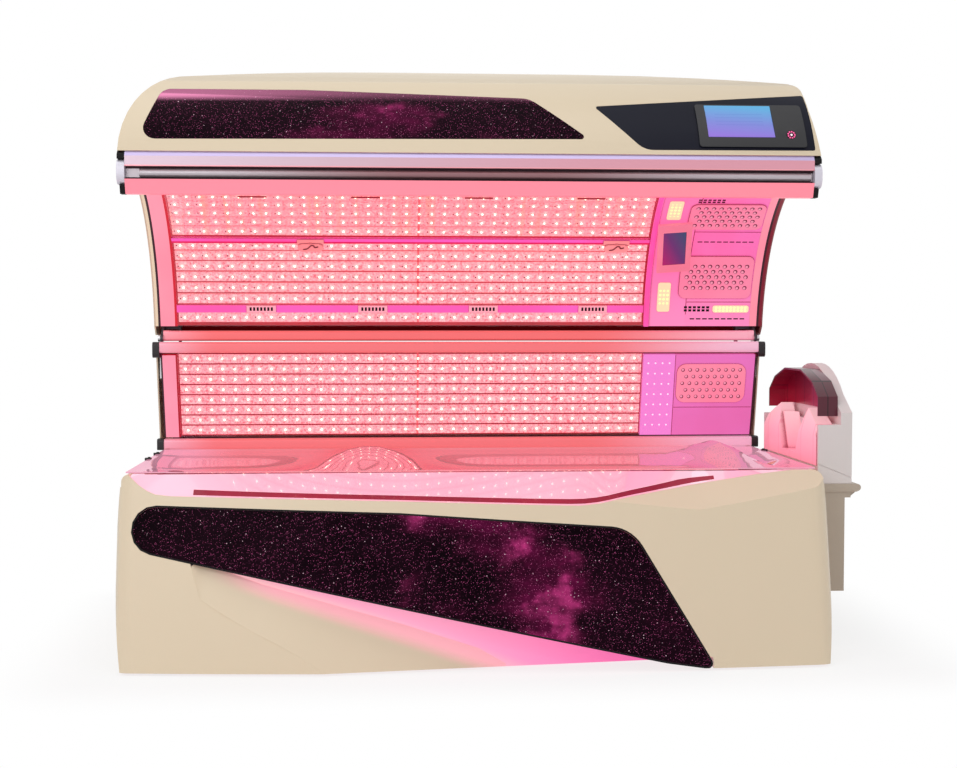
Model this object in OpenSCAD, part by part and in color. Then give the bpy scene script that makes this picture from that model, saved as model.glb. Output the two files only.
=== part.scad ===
// Clamshell tanning bed: a fixed base with the bench and a low side tanner, and a canopy that a pair
// of spindle drives swings down over the bench about one line at the back.
// X runs along the bed towards the head end, Y to the back, Z up, millimetres.

/* [Overall] */
// Length of the base over its barrelled end covers
base_l = 2280; // [2200:10:2330]
// Reach of the rails and the canopy beyond each end of the base
rail_over = 5; // [2:1:12]
// Height of the base covers at the ends
base_h = 608; // [590:1:630]
// Depth from the bench centre line back to the rear cover
rear_y = 560; // [545:1:620]
// Wall of the moulded covers
wall = 5; // [4:0.5:7]
// Gap between neighbouring covers and fitted pieces
gap = 0.5; // [0.3:0.1:1]

/* [Base front] */
// Distance of the foot of the front face before the bench centre line
front_y = 752; // [740:1:770]
// Lean of the front face, which falls back towards the top
front_lean = 12.1; // [8:0.1:13]
// Radius of the bow of the front face in plan
front_bow = 11600; // [9000:100:20000]
// Place of the foremost point of the bow along the bed
bow_x = 150; // [0:10:300]
// Radius of the upright front corners
corner_r = 60; // [40:1:80]
// Radius of the barrelled ends
barrel_r = 2250; // [1800:10:4000]
// Width of the rubber seal round the trim panel
seal_w = 5; // [3:0.5:8]
// Thickness of the trim panels
trim_t = 4; // [3:0.5:5]
// Height of the ground gap under the covers
ground_gap = 8; // [5:1:12]

/* [Bench] */
// Front edge of the flat bench before the centre line
bench_front = 500; // [480:1:515]
// Back edge of the bench behind the centre line
bench_back = 316; // [300:1:320]
// Depth of the body hollow in the bench
dish = 42; // [30:1:55]
// Height of the knee roll above the hollow
knee_h = 82; // [60:1:90]
// Place of the knee roll along the bed
knee_x = -350; // [-450:10:-250]
// Height of the neck roll above the hollow
neck_h = 96; // [70:1:100]
// Distance of the neck roll from the head end
neck_d = 255; // [240:5:300]
// Thickness of the acrylic sheets
acryl_t = 4; // [3:0.5:6]
// Number of lamp strips under the bench
bench_strips = 13; // [8:1:15]

/* [Side tanner] */
// Width of the lamp strips
strip_w = 36; // [26:1:37]
// Height of the lamp strips
strip_t = 7; // [5:0.5:9]
// Pitch of the side lamp strips
side_pitch = 40; // [38:0.5:42]
// Number of side lamp strips
side_strips = 8; // [5:1:8]
// Height of the side tanner above the base covers
side_h = 408; // [400:1:409]
// Height of the side rails
side_rail_h = 40; // [32:1:46]
// Lean of the side tanner towards the bench
side_lean = 15; // [12:0.5:17]

/* [Canopy] */
// Height of the hinge line above the upper side rail
hinge_up = 14; // [12:1:18]
// Distance of the canopy hinge line behind the centre line
hinge_y = 262; // [258:1:268]
// Radius of the lamp arch
arch_r = 640; // [620:5:650]
// Reach of the arch behind the hinge line
arch_back = 16; // [12:1:24]
// Distance of the arch centre below the hinge line
arch_drop = 47; // [40:1:55]
// Pitch of the canopy lamp strips along the arch
lamp_pitch = 42; // [38:0.5:46]
// Height of the front rail
rail_h = 136; // [126:1:146]
// Depth of the front rail
rail_d = 52; // [44:1:60]
// Reach of the front rail's face before the front edge of the arch
rail_out = 57.8; // [50:0.1:70]
// Drop of the underside of the front rail below the front edge of the arch
rail_drop = 121.7; // [112:0.1:130]
// Radius of the canopy face above the rail
face_r = 498; // [470:1:520]
// Lean of the canopy face where it leaves the rail
face_lean = 20; // [17:0.5:23]
// Distance of the middle of the canopy's foot behind the hinge line
foot_back = 140; // [132:1:150]
// Radius of the lengthwise arch of the crown
crown_bow = 10500; // [9000:100:16000]

/* [Hinge and drive] */
// Radius of the hinge pins
pin_r = 6; // [5:0.5:7]
// Running clearance of the hinge pins
pin_fit = 0.05; // [0.03:0.01:0.1]
// Thickness of the hinge lugs
lug_t = 8; // [6:0.5:9]
// Reach of the drive levers from the hinge line
lever_r = 90; // [84:1:96]
// Angle of the drive levers below the horizontal when open
lever_a = 40; // [38:0.5:42]
// Angle from open to closed
close_a = 50; // [45:1:50]
// Radius of the spindle tubes
tube_r = 20; // [16:1:21]
// Radius of the spindles
spindle_r = 9; // [7:0.5:11]
// Height of the lower pivots of the drives
drive_z = 400; // [380:1:420]
// Distance of the lower pivots behind the centre line
drive_y = 470; // [465:1:476]
// Radius of the drive pins
drive_pin_r = 5; // [4:0.5:6]

/* [Head unit] */
// Distance of the head unit's middle before the centre line
head_y = 60; // [40:1:80]
// Half width of the head unit
head_half = 345; // [320:1:360]
// Distance of the head unit beyond the end of the base
head_out = 14; // [10:1:30]
// Depth of the head unit along the bed
head_d = 119; // [105:1:130]
// Drop of the underside of the head unit below the base covers
head_drop = 61; // [52:1:68]
// Height of the head unit up to its crown
head_h = 396; // [373:1:413]
// Reach of the shelf beyond the head unit
shelf_out = 31; // [20:1:40]
// Thickness of the hood panels
hood_t = 6; // [4:0.5:8]

/* [Controls] */
// Width of the touch screen
screen_w = 222; // [200:1:240]
// Height of the touch screen up the canopy face
screen_h = 138; // [120:1:142]
// Radius of the start button
button_r = 15; // [11:0.5:17]
// Travel of the start button
button_travel = 1.5; // [1:0.1:2]

/* [Fans] */
// Radius of the fan blades
fan_r = 80; // [60:1:90]
// Number of fan blades
fan_blades = 7; // [5:1:9]

/* [Hidden] */

eps = 0.01;
base_half = base_l / 2;
rail_half = base_half + rail_over;
cap_w = 25;
// Places along the bed, from the foot end, from the head end and from the ends of the rails
function foot(d) = d - base_half;
function head(d) = base_half - d;
function rail(d) = rail_half - d;
// Joints between the front and rear covers and the end covers
end_join = head(42);
head_x = base_half + head_out;
head_z = base_h - head_drop;
shelf_end = head_x + head_d + shelf_out;
// Rim of the acrylic bench, which lies on the end covers
bench_z = base_h + 0.3 + acryl_t;
neck_x = head(neck_d);
side_top = base_h + side_h;
hinge_z = side_top + hinge_up;
// The frame's origin is the middle of the whole bed's footprint, on the floor
lean_t = tan(front_lean);
mid_x = (shelf_end - rail_half) / 2;
// The foremost point is the trim panel's seal, a little above the floor and beside the bow's middle
mid_y = (rear_y - front_y + lean_t * 16 + pow(head(500) - bow_x, 2) / (2 * front_bow)) / 2;

// Hinge lugs: fixed brackets outside, the canopy's arms inside
eye_r = pin_r + 7;
lug_gap = 1.5;
bracket_x = rail(26);
arm_x = bracket_x - lug_gap - lug_t;

// Places along the bed that the lamp fields, cheeks and head panels share
lamp_x0 = -rail(87);
lamp_x1 = rail(461);
divide_r = 10;
divide_x = lamp_x1 + divide_r + 0.5;
cheek_out = rail_half - 2 - wall;
head_panel_x0 = divide_x + divide_r + 0.3;
head_panel_x1 = rail(53);

// ---------- helpers ----------

module in_frame() { translate([-mid_x, -mid_y, 0]) children(); }
module along_x(x0, x1) { translate([x0, 0, 0]) rotate([90, 0, 90]) linear_extrude(x1 - x0) children(); }
module along_y(y0, y1) { translate([0, y1, 0]) rotate([90, 0, 0]) linear_extrude(y1 - y0) children(); }
module both_ends() { children(); mirror([1, 0, 0]) children(); }
module box(a, b) { translate(a) cube(b - a); }
// Folded steel channel lying along its longer side, open below, and an upright one, open to the back
module channel(a, b, t = 3) {
  difference() {
    box(a, b);
    if (b.x - a.x > b.y - a.y) box([a.x - 1, a.y + t, a.z - 1], [b.x + 1, b.y - t, b.z - t]);
    else box([a.x + t, a.y - 1, a.z - 1], [b.x - t, b.y + 1, b.z - t]);
  }
}
module upright(a, b, t = 3) {
  difference() {
    box(a, b);
    box([a.x + t, a.y + t, a.z - 1], [b.x - t, b.y + 1, b.z - t]);
  }
}

function arc_pts(c, r, a0, a1, n = 8) =
  [for (i = [0:n]) let (a = a0 + (a1 - a0) * i / n) [c.x + r * cos(a), c.y + r * sin(a)]];

// Outline of a belt run round circles [[x, y], r], counter-clockwise, grown by e
function belt_normal(p, q) = let (d = q[0] - p[0]) atan2(d.y, d.x) - acos((p[1] - q[1]) / norm(d));
function belt(cs, e = 0, n = 7) = let (k = len(cs)) [for (i = [0:k - 1])
  let (c = cs[i], a0 = belt_normal(cs[(i + k - 1) % k], c), a1 = belt_normal(c, cs[(i + 1) % k]))
  each arc_pts(c[0], c[1] + e, a0, a1 < a0 ? a1 + 360 : a1, n)];
function round_rect(x0, y0, x1, y1, r) =
  [[[x0 + r, y0 + r], r], [[x1 - r, y0 + r], r], [[x1 - r, y1 - r], r], [[x0 + r, y1 - r], r]];

// ---------- base body ----------

// Front face: distance before the centre line at a place along the bed and a height
function front_at(x, z) = -front_y + lean_t * z + pow(x - bow_x, 2) / (2 * front_bow);

// Inner face of the front cover's wall
function cover_in(x, z) = front_at(x, z) + wall / cos(front_lean)
  + pow(x - bow_x, 2) / (2 * front_bow) * (1 / cos(front_lean) - 1);

module corner_cut(x, y, r, side) {
  difference() {
    translate([side > 0 ? x - r : x - 50, y - 300]) square([r + 50, 300 + r]);
    translate([x - side * r, y + r]) circle(r = r, $fn = 96);
  }
}
module front_plan(d) {
  corner_l = pow(base_half + bow_x, 2) / (2 * front_bow);
  corner_rt = pow(base_half - bow_x, 2) / (2 * front_bow);
  difference() {
    intersection() {
      translate([bow_x, front_bow]) circle(r = front_bow - d, $fn = 720);
      translate([-base_half + d, -50]) square([base_l - 2 * d, rear_y + front_y + 600]);
    }
    corner_cut(-base_half + d, corner_l + d - 6, corner_r - d, -1);
    corner_cut(base_half - d, corner_rt + d - 4, corner_r - d, 1);
  }
}
module ends_outline(d) {
  barrel_z = 350;
  end_in = 14;
  top_r = 24;
  intersection() {
    translate([-base_half + barrel_r, barrel_z]) circle(r = barrel_r - d, $fn = 360);
    translate([base_half - barrel_r, barrel_z]) circle(r = barrel_r - d, $fn = 360);
    union() {
      translate([-base_half, ground_gap]) square([base_l, base_h - 16 - top_r - ground_gap]);
      translate([foot(end_in + top_r), ground_gap])
        square([base_l - 2 * (end_in + top_r), base_h - d - ground_gap]);
      for (s = [-1, 1])
        translate([s * head(end_in + top_r), base_h - top_r]) circle(r = top_r - d, $fn = 64);
      translate([foot(end_in + d), ground_gap]) square([base_l - 2 * (end_in + d), base_h - top_r - ground_gap]);
    }
  }
}
// Soft crease over the head end of the front face: two planes that lean further back above it
top_crease = [[head(755), base_h - 81], [head(433), base_h - 116], [head(2), base_h - 44]];
crease_lean = 0.9;
function on_front(p) = [p.x, front_at(p.x, p.y), p.y];
function crease_normal(p, q) = let (n = cross(on_front(q) - on_front(p), [0, lean_t + crease_lean, 1])) n / norm(n);
function crease_at(p, q, x, z) = let (a = on_front(p), b = on_front(q), t = (x - a.x) / (b.x - a.x))
  a.y + t * (b.y - a.y) + (lean_t + crease_lean) * (z - a.z - t * (b.z - a.z));
module above_crease(p, q, d) {
  n = crease_normal(p, q);
  translate(on_front(p) - n * d) rotate([0, acos(n.z), atan2(n.y, n.x)])
    translate([-2000, -2000, 0]) cube([4000, 4000, 900]);
}
// The whole base body, set in by d
module base_body(d = 0) {
  difference() {
    intersection() {
      translate([0, -front_y, 0]) rotate([-front_lean, 0, 0])
        translate([0, 0, -400]) linear_extrude(1400) front_plan(d);
      along_y(-front_y - 60, rear_y - d) ends_outline(d);
    }
    intersection() {
      above_crease(top_crease[0], top_crease[1], d);
      above_crease(top_crease[1], top_crease[2], d);
    }
  }
}

// Height of the front edge of the base along the bed: it dips where a person sits down
dip = [[foot(38), 0], [foot(71), 31], [foot(100), 50], [foot(125), 60], [foot(170), 65], [foot(580), 74],
  [foot(893), 81], [head(946), 95], [head(816), 98], [head(755), 92], [head(703), 82], [head(640), 72],
  [head(561), 61], [head(377), 35], [head(231), 14], [head(124), 2], [head(100), 0]];
function dip_z(x) = base_h - lookup(x, dip);
deck_steps = 55;
function deck_x(i) = 2 - end_join + (2 * end_join - 6) * i / deck_steps;

module dip_cut() {
  along_y(-front_y - 50, -bench_front + eps)
    polygon(concat([[dip[0].x, base_h + 40]], [for (p = dip) [p.x, base_h - p.y]], [[head(100), base_h + 40]]));
}

// The lines drawn on the front face keep their share of its height
function styled(z) = z * base_h / 608;
function styled_line(ps) = [for (p = ps) [p.x, styled(p.y)]];
// Trim panel: a long swoosh, round at the foot end and pointed at the floor by the head end
swoosh = [[[foot(128), styled(438)], 71], [[head(551), styled(48)], 18], [[head(428), 24], 12],
  [[head(730), styled(320)], 120], [[foot(890), styled(420)], 66]];
// Soft facet that runs in under the trim panel: a plane that bends out to meet the front face
facet_a = 0.2078 + (foot(237) - bow_x) / front_bow;
facet_b = lean_t + 0.2346 * 608 / base_h;
facet_p = [foot(237), styled(346)];
facet_bend = [[foot(237), 0], [foot(272), 19], [foot(350), 14], [foot(429), 10], [foot(500), 4], [foot(580), 0]];
function facet_y(x, z) = front_at(facet_p.x, facet_p.y) + 0.7 + facet_a * (x - facet_p.x)
  + facet_b * (z - facet_p.y) + lookup(x, facet_bend);
crease = concat([facet_p], styled_line([[foot(244), 322], [foot(272), 232], [foot(350), 183], [foot(429), 139],
  [foot(500), 104], [foot(580), 62]]), [[foot(660), ground_gap]]);
under_trim = styled_line([[foot(244), 330], [foot(272), 345], [foot(291.5), 345], [foot(292), 331]]);
glow_edge = concat(styled_line([[foot(292), 331], [foot(458), 271], [foot(582), 235], [foot(712), 196],
  [foot(891), 144], [foot(1014), 104], [foot(1138), 64]]), [[foot(1224), 16]]);
glow_end = head(409);
behind_trim = styled_line([[foot(292), 376], [head(408), 45]]);
facet_x = [for (d = [350, 429, 458, 500, 580, 660, 712, 891, 1014, 1138, 1224]) foot(d)];

// A strip of wall on the facet, between two heights that vary along the bed
module facet_strip(xs, lo, hi) {
  polyhedron(convexity = 4, faces = sweep_faces(len(xs) - 1),
    points = [for (x = xs) let (a = lookup(x, lo), b = lookup(x, hi))
      each [[x, facet_y(x, a), a], [x, facet_y(x, b), b], [x, facet_y(x, b) + wall, b], [x, facet_y(x, a) + wall, a]]]);
}

module front_cover() {
  color([0.85, 0.79, 0.69]) in_frame() {
    difference() {
      base_body();
      base_body(wall);
      box([-1300, -bench_front, -10], [1300, 800, 800]);
      dip_cut();
      deck_slab(0, deck_steps, 20, 3 + gap, 1);
      along_y(-front_y - 50, -bench_front) {
        polygon(belt(swoosh, seal_w + gap));
        polygon(concat(crease, [[glow_end, ground_gap], [glow_end, 40], [head(840), styled(120)],
          [foot(260), styled(372)]]));
      }
    }
    // The facet laps the edge of the front wall by a little
    facet_strip(concat([foot(244), foot(272), foot(291.5), foot(292)], facet_x),
      [for (p = concat(crease, [[foot(1224), ground_gap]])) [p.x, max(ground_gap, p.y - 1.5)]],
      concat(under_trim, glow_edge));
    // Return that closes the recess beside the tip of the trim panel
    intersection() {
      base_body();
      box([glow_end, -front_y, ground_gap], [glow_end + wall, facet_y(glow_end, 60) + wall, 60]);
    }
  }
}
module recess_light_panel() {
  color([1, 0.55, 0.75]) in_frame()
    facet_strip(concat([foot(292) + gap], facet_x, [foot(1224) + gap, head(740), glow_end - gap]),
      concat([for (p = glow_edge) p + [0, gap]], [[foot(1224) + gap, ground_gap]]), behind_trim);
}

module front_skin(d0, d1, grow) {
  intersection() {
    difference() { base_body(d0); base_body(d1); }
    along_y(-front_y - 50, -bench_front) polygon(belt(swoosh, grow));
  }
}
module front_trim_panel() { color([0.16, 0.06, 0.14]) in_frame() front_skin(1, 1 + trim_t, -gap); }
module front_trim_seal() {
  color([0.05, 0.05, 0.06]) in_frame()
    difference() {
      front_skin(0, 3 + trim_t, seal_w);
      front_skin(-5, 20, 0);
    }
}

module end_cover(side) {
  difference() {
    intersection() {
      base_body();
      box([side > 0 ? end_join + gap : foot(-20), -bench_front + gap, 0],
        [side > 0 ? head(-20) : -end_join - gap, rear_y, base_h + 20]);
    }
    base_body(wall);
  }
}
module left_end_cover() { color([0.85, 0.79, 0.69]) in_frame() end_cover(-1); }
module right_end_cover() { color([0.85, 0.79, 0.69]) in_frame() end_cover(1); }

inlet_x = foot(160);
inlet_z = 110;
module louvres(x0, x1, z0, n, pitch, h) {
  for (i = [0:n - 1]) box([x0, rear_y - wall - 2, z0 + i * pitch], [x1, rear_y + 2, z0 + i * pitch + h]);
}
module rear_cover() {
  color([0.85, 0.79, 0.69]) in_frame()
    difference() {
      union() {
        box([-end_join, rear_y - wall, ground_gap], [end_join, rear_y, ledge_z]);
        box([-end_join, side_back - wall, ledge_z - wall], [end_join, rear_y - wall, ledge_z]);
      }
      for (x = [foot(520), head(760)]) louvres(x, x + 240, 240, 9, 22, 9);
      box([inlet_x - 30 - gap, rear_y - 20, inlet_z - 20 - gap],
        [inlet_x + 30 + gap, rear_y + 5, inlet_z + 20 + gap]);
    }
}

// ---------- base inside ----------

tube_w = 50;
tube_h = 40;
frame_z = 30;
drive_x = head(104);
cross_x = [foot(80), foot(770), head(820), head(130)];
pylon_x0 = head(78);
pylon_x1 = head(44);
trestle_z = base_h - 116.2;
cover_strap_x = [foot(150), head(260)];
module base_frame() {
  z = frame_z + tube_h;
  color([0.25, 0.26, 0.28]) in_frame() {
    for (y = [-560, 440]) channel([cross_x[0], y, frame_z], [head(80), y + tube_w, z]);
    for (x = cross_x) {
      channel([x, -560 + tube_w - 2, frame_z], [x + tube_w, 442, z]);
      // Bench trestle
      for (y = [-420, 260]) upright([x + 10, y, z - 2], [x + 40, y + 30, trestle_z - 21]);
      channel([x + 10, -420, trestle_z - 29], [x + 40, 290, trestle_z]);
    }
    // Straps that carry the foot of the front cover
    for (x = cover_strap_x) box([x, cover_in(x < 0 ? x : x + 40, z) + 0.3, z - 3], [x + 40, -558, z]);
    // Rear beam that carries the side tanner
    channel([-pylon_x1, 458, ledge_z - 2], [pylon_x1, 488, ledge_z + 38]);
    // Pylons for the hinge brackets, with their feet
    both_ends() {
      upright([pylon_x0, 402, z - 2], [pylon_x1, 442, hinge_z - 90]);
      channel([head(130), 402, frame_z], [pylon_x1, 490, z]);
      box([pylon_x0, 439, ledge_z - 2], [pylon_x1, 460, ledge_z + 38]);
      // Lower bearing of the drive
      difference() {
        union() {
          for (x = [drive_x - 18, drive_x + 10]) box([x, 446, drive_z - 60], [x + 8, 490, drive_z + 20]);
          box([drive_x - 18, 440, frame_z + tube_h - 1], [drive_x + 18, 452, drive_z - 30]);
        }
        along_x(drive_x - 36, drive_x + 24) translate([drive_y, drive_z]) circle(r = drive_pin_r + pin_fit, $fn = 48);
      }
    }
  }
}

foot_x = [foot(105), foot(785), head(785), head(105)];
module levelling_feet() {
  color([0.1, 0.1, 0.11]) in_frame()
    for (x = foot_x, y = [-535, 465]) translate([x, y, 0]) {
      cylinder(r = 28, h = 8, $fn = 64);
      translate([0, 0, 8]) cylinder(r = 8, h = frame_z + tube_h - 3.3 - 8, $fn = 32);
    }
}

module floor_pan() {
  color([0.62, 0.63, 0.65]) in_frame() {
    t = 1.5;
    z = frame_z + tube_h;
    difference() {
      box([foot(140), -500, z], [head(140), 430, z + t]);
      for (x = [cross_x[1], cross_x[2]], y = [-420, 260])
        box([x + 10 - gap, y - gap, z - 1], [x + 40 + gap, y + 30 + gap, z + 5]);
      translate([fan_x, 0, z - 1]) cylinder(r = fan_r + 6, h = 5, $fn = 96);
    }
  }
}

ps_x = [foot(240), foot(440), foot(840), foot(1040)];
module power_supplies() {
  color([0.72, 0.72, 0.74]) in_frame()
    for (x = ps_x, y = [-320, 60]) {
      z = frame_z + tube_h + 1.5;
      box([x, y, z], [x + 160, y + 230, z + 46]);
      for (i = [0:5]) box([x + 12 + i * 24, y + 10, z + 46], [x + 18 + i * 24, y + 220, z + 62]);
      box([x + 30, y - 16, z + 6], [x + 130, y, z + 30]);
    }
}

fan_x = head(640);
module fan_ring(r, h, t) {
  difference() {
    cylinder(r = r + 3 + t, h = h, $fn = 96);
    translate([0, 0, -1]) cylinder(r = r + 3, h = h + 2, $fn = 96);
  }
}
// Housing with a square flange, four spokes and a hub seat that holds the rotor's shaft
module fan_housing(r, h) {
  difference() {
    union() {
      fan_ring(r, h, 4);
      difference() {
        translate([-r - 12, -r - 12, 0]) cube([2 * r + 24, 2 * r + 24, 4]);
        translate([0, 0, -1]) cylinder(r = r + 3, h = 6, $fn = 96);
      }
      for (a = [45:90:315]) rotate(a) translate([20, -4, 0]) cube([r - 15, 8, 5]);
      cylinder(r = 24, h = 8, $fn = 48);
    }
    translate([0, 0, -1]) cylinder(r = 4 + pin_fit, h = 12, $fn = 32);
  }
}
// Blades are thin twisted-looking vanes, set at a pitch and joined to the hub
module fan_rotor(r, h) {
  translate([0, 0, 9]) difference() {
    cylinder(r = 26, h = h - 12, $fn = 48);
    translate([0, 0, -1]) cylinder(r = 20, h = h - 16, $fn = 48);
  }
  translate([0, 0, 9]) cylinder(r = 6, h = h - 14, $fn = 32);
  cylinder(r = 4, h = 12, $fn = 32);
  intersection() {
    translate([0, 0, 9]) cylinder(r = r, h = h - 12, $fn = 96);
    for (i = [0:fan_blades - 1]) rotate(i * 360 / fan_blades)
      translate([22, 0, h / 2 + 3]) rotate([38, 0, 0]) translate([0, -24, -1.25]) cube([r, 48, 2.5]);
  }
}
module base_fan_housing() {
  color([0.08, 0.08, 0.09]) in_frame() translate([fan_x, 0, frame_z + tube_h + 1.5]) fan_housing(fan_r, 40);
}
module base_fan_rotor() {
  color([0.12, 0.12, 0.13]) in_frame() translate([fan_x, 0, frame_z + tube_h + 1.5]) fan_rotor(fan_r, 40);
}

module mains_inlet() {
  color([0.06, 0.06, 0.07]) in_frame()
    difference() {
      box([inlet_x - 30, rear_y - 34, inlet_z - 20], [inlet_x + 30, rear_y - 1, inlet_z + 20]);
      box([inlet_x - 18, rear_y - 20, inlet_z - 11], [inlet_x + 18, rear_y, inlet_z + 11]);
    }
}

// ---------- bench ----------

bench_x0 = foot(22);
bench_x1 = head(22);
function bump(x, c, w) = exp(-pow((x - c) / w, 2));
function across(y) = let (t = (y + bench_front) / (bench_back + bench_front)) pow(sin(180 * t), 1.3);
function along(x) = let (t = max(0, min(1, (x - foot(45)) / 130, (head(45) - x) / 60))) 1 - pow(1 - t, 2);
function bench_at(x, y) = bench_z
  + across(y) * along(x) * (-dish + knee_h * bump(x, knee_x, 190) + neck_h * bump(x, neck_x, 115));

// A closed sheet of thickness t hung under the surface z = bench_at
module bench_sheet(nx, ny, t) {
  // The end rows lie flat on the end covers
  function row_x(i) = i == 0 ? bench_x0 : i == nx ? bench_x1 : foot(45) + (base_l - 90) * (i - 1) / (nx - 2);
  pts = [for (s = [0, t], i = [0:nx], j = [0:ny])
    let (x = row_x(i), y = -bench_front + (bench_back + bench_front) * j / ny)
    [x, y, bench_at(x, y) - s]];
  m = (nx + 1) * (ny + 1);
  function id(i, j, s) = s * m + i * (ny + 1) + j;
  rim = concat([for (i = [0:nx - 1]) [i, 0]], [for (j = [0:ny - 1]) [nx, j]],
    [for (i = [nx:-1:1]) [i, ny]], [for (j = [ny:-1:1]) [0, j]]);
  nr = len(rim);
  polyhedron(points = pts, convexity = 6, faces = concat(
    [for (i = [0:nx - 1], j = [0:ny - 1], k = [0, 1]) k == 0
      ? [id(i, j, 0), id(i, j + 1, 0), id(i + 1, j + 1, 0)]
      : [id(i, j, 0), id(i + 1, j + 1, 0), id(i + 1, j, 0)]],
    [for (i = [0:nx - 1], j = [0:ny - 1], k = [0, 1]) k == 0
      ? [id(i, j, 1), id(i + 1, j + 1, 1), id(i, j + 1, 1)]
      : [id(i, j, 1), id(i + 1, j, 1), id(i + 1, j + 1, 1)]],
    [for (q = [0:nr - 1]) let (a = rim[q], b = rim[(q + 1) % nr])
      [id(a.x, a.y, 0), id(b.x, b.y, 0), id(b.x, b.y, 1), id(a.x, a.y, 1)]]));
}
grommet = [[foot(129), -199], [head(94), -170]];
grommet_r = 36;
module bench_acrylic() {
  color([1, 0.8, 0.88, 0.4]) in_frame()
    difference() {
      bench_sheet(44, 12, acryl_t);
      for (p = grommet) translate([p.x, p.y, bench_z - 60]) cylinder(r = grommet_r, h = 100, $fn = 64);
    }
}
module deck_grommets() {
  color([0.45, 0.05, 0.12]) in_frame() for (p = grommet) {
    z = bench_at(p.x, p.y);
    translate([p.x, p.y, 0]) difference() {
      translate([0, 0, z - 40]) cylinder(r = grommet_r - 0.3, h = 42, $fn = 64);
      translate([0, 0, z - 1.5]) cylinder(r = grommet_r - 5, h = 10, $fn = 64);
      translate([0, 0, z - 50]) cylinder(r = grommet_r - 4, h = 42, $fn = 64);
    }
  }
}
module bench_reflector() {
  color([0.86, 0.86, 0.88]) in_frame()
    difference() {
      translate([0, 0, base_h]) along_x(foot(84), head(84))
        polygon([[-bench_front + 2, -12], [-bench_front + 2, -48], [-400, -116], [240, -116],
          [bench_back - 2, -48], [bench_back - 2, -12], [bench_back - 4, -12], [bench_back - 4, -47],
          [239, -114], [-399, -114], [-bench_front + 4, -47], [-bench_front + 4, -12]]);
      for (p = grommet) translate([p.x, p.y, base_h - 128]) cylinder(r = grommet_r, h = 100, $fn = 64);
    }
}
module bench_lamps() {
  color([1, 0.75, 0.7]) in_frame()
    for (i = [0:bench_strips - 1]) {
      y = -376 + i * 592 / (bench_strips - 1);
      x0 = y > -245 && y < -145 ? grommet[0].x + 46 : foot(100);
      x1 = y > -216 && y < -120 ? grommet[1].x - 46 : head(100);
      box([x0, y - strip_w / 2, base_h - 114 + gap], [x1, y + strip_w / 2, base_h - 114 + gap + strip_t]);
    }
}
// Faces of a strip swept through n steps of a four-point section, as triangles
function sweep_faces(n) = concat([[2, 1, 0], [3, 2, 0]], [[4 * n, 4 * n + 1, 4 * n + 2], [4 * n, 4 * n + 2, 4 * n + 3]],
  [for (i = [0:n - 1], k = [0:3]) let (a = 4 * i + k, b = 4 * i + (k + 1) % 4) each [[b + 4, a + 4, a], [b, b + 4, a]]]);
function deck_front(x) = let (z = dip_z(x) - 1, c = top_crease)
  [max(front_at(x, z) + wall, min(crease_at(c[0], c[1], x, z), crease_at(c[1], c[2], x, z)) + 1.55 * wall) + 3, z];
function deck_depth(x) = -bench_front - gap - deck_front(x).x;
// Height of the sloping deck at a distance w behind its front edge
deck_top = base_h - 0.7;
function deck_at(x, w) = let (p = deck_front(x)) p.y + w * (deck_top - p.y) / deck_depth(x);
// The air strip lies a little behind the front edge, and narrows with the deck
strip_in = 6;
function air_w(x) = min(20, 0.42 * (deck_depth(x) - strip_in));
module deck_slab(i0, i1, up, down, back = 0) {
  polyhedron(convexity = 4, faces = sweep_faces(i1 - i0), points = [for (i = [i0:i1])
    let (x = deck_x(i), y = deck_front(x).x, b = deck_depth(x) + back)
    each [[x, y, deck_at(x, 0) + up], [x, y + b, deck_at(x, b) + up],
      [x, y + b, deck_at(x, b) - down], [x, y, deck_at(x, 0) - down]]]);
}
module air_slab(i0, i1, e, up, down) {
  polyhedron(convexity = 4, faces = sweep_faces(i1 - i0), points = [for (i = [i0:i1])
    let (x = deck_x(i), y = deck_front(x).x, a = strip_in + e, b = strip_in + air_w(x) - e)
    each [[x, y + a, deck_at(x, a) + up], [x, y + b, deck_at(x, b) + up],
      [x, y + b, deck_at(x, b) - down], [x, y + a, deck_at(x, a) - down]]]);
}
module front_deck() {
  color([1, 0.78, 0.84]) in_frame()
    difference() {
      deck_slab(0, deck_steps, 0, 3);
      air_slab(5, 47, 0, 4, 9);
    }
}
// Long slotted air strip near the front edge of the deck
module deck_air_strip() {
  color([0.5, 0.02, 0.1]) in_frame() air_slab(5, 47, 0.4, -1, 6);
}
// Clamps on the end covers that hook over the rim of the acrylic
clamp_at = [[-1, -69], [-1, 125], [1, 125]];
module acrylic_clamps() {
  color([0.07, 0.07, 0.08]) in_frame() for (p = clamp_at) scale_x(p.x) translate([0, p.y, 0]) {
    box([bench_x1 + 0.3, -10, base_h - 3.6], [bench_x1 + 8, 10, bench_z + 5]);
    box([bench_x1 - 14, -8, bench_z + 0.3], [bench_x1 + 1, 8, bench_z + 5]);
    translate([bench_x1 - 6, 0, bench_z + 4]) cylinder(r = 5, h = 4, $fn = 32);
  }
}
module scale_x(side) { if (side < 0) mirror([1, 0, 0]) children(); else children(); }

// ---------- side tanner ----------

// Side frame: origin at the top inner corner of the lamp face, u down the face, v into the side
side_y = 250;
side_z0 = side_top - side_rail_h + 1;
side_out = bracket_x - 0.5;
module side_frame() { translate([0, side_y, side_z0]) rotate([side_lean, 0, 0]) children(); }
side_face_h = side_strips * side_pitch + 18;
low_rail_top = side_z0 - side_face_h * cos(side_lean) - 1;
low_rail_y = side_y + side_face_h * sin(side_lean);
// Top of the base under the side tanner
ledge_z = base_h;

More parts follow.
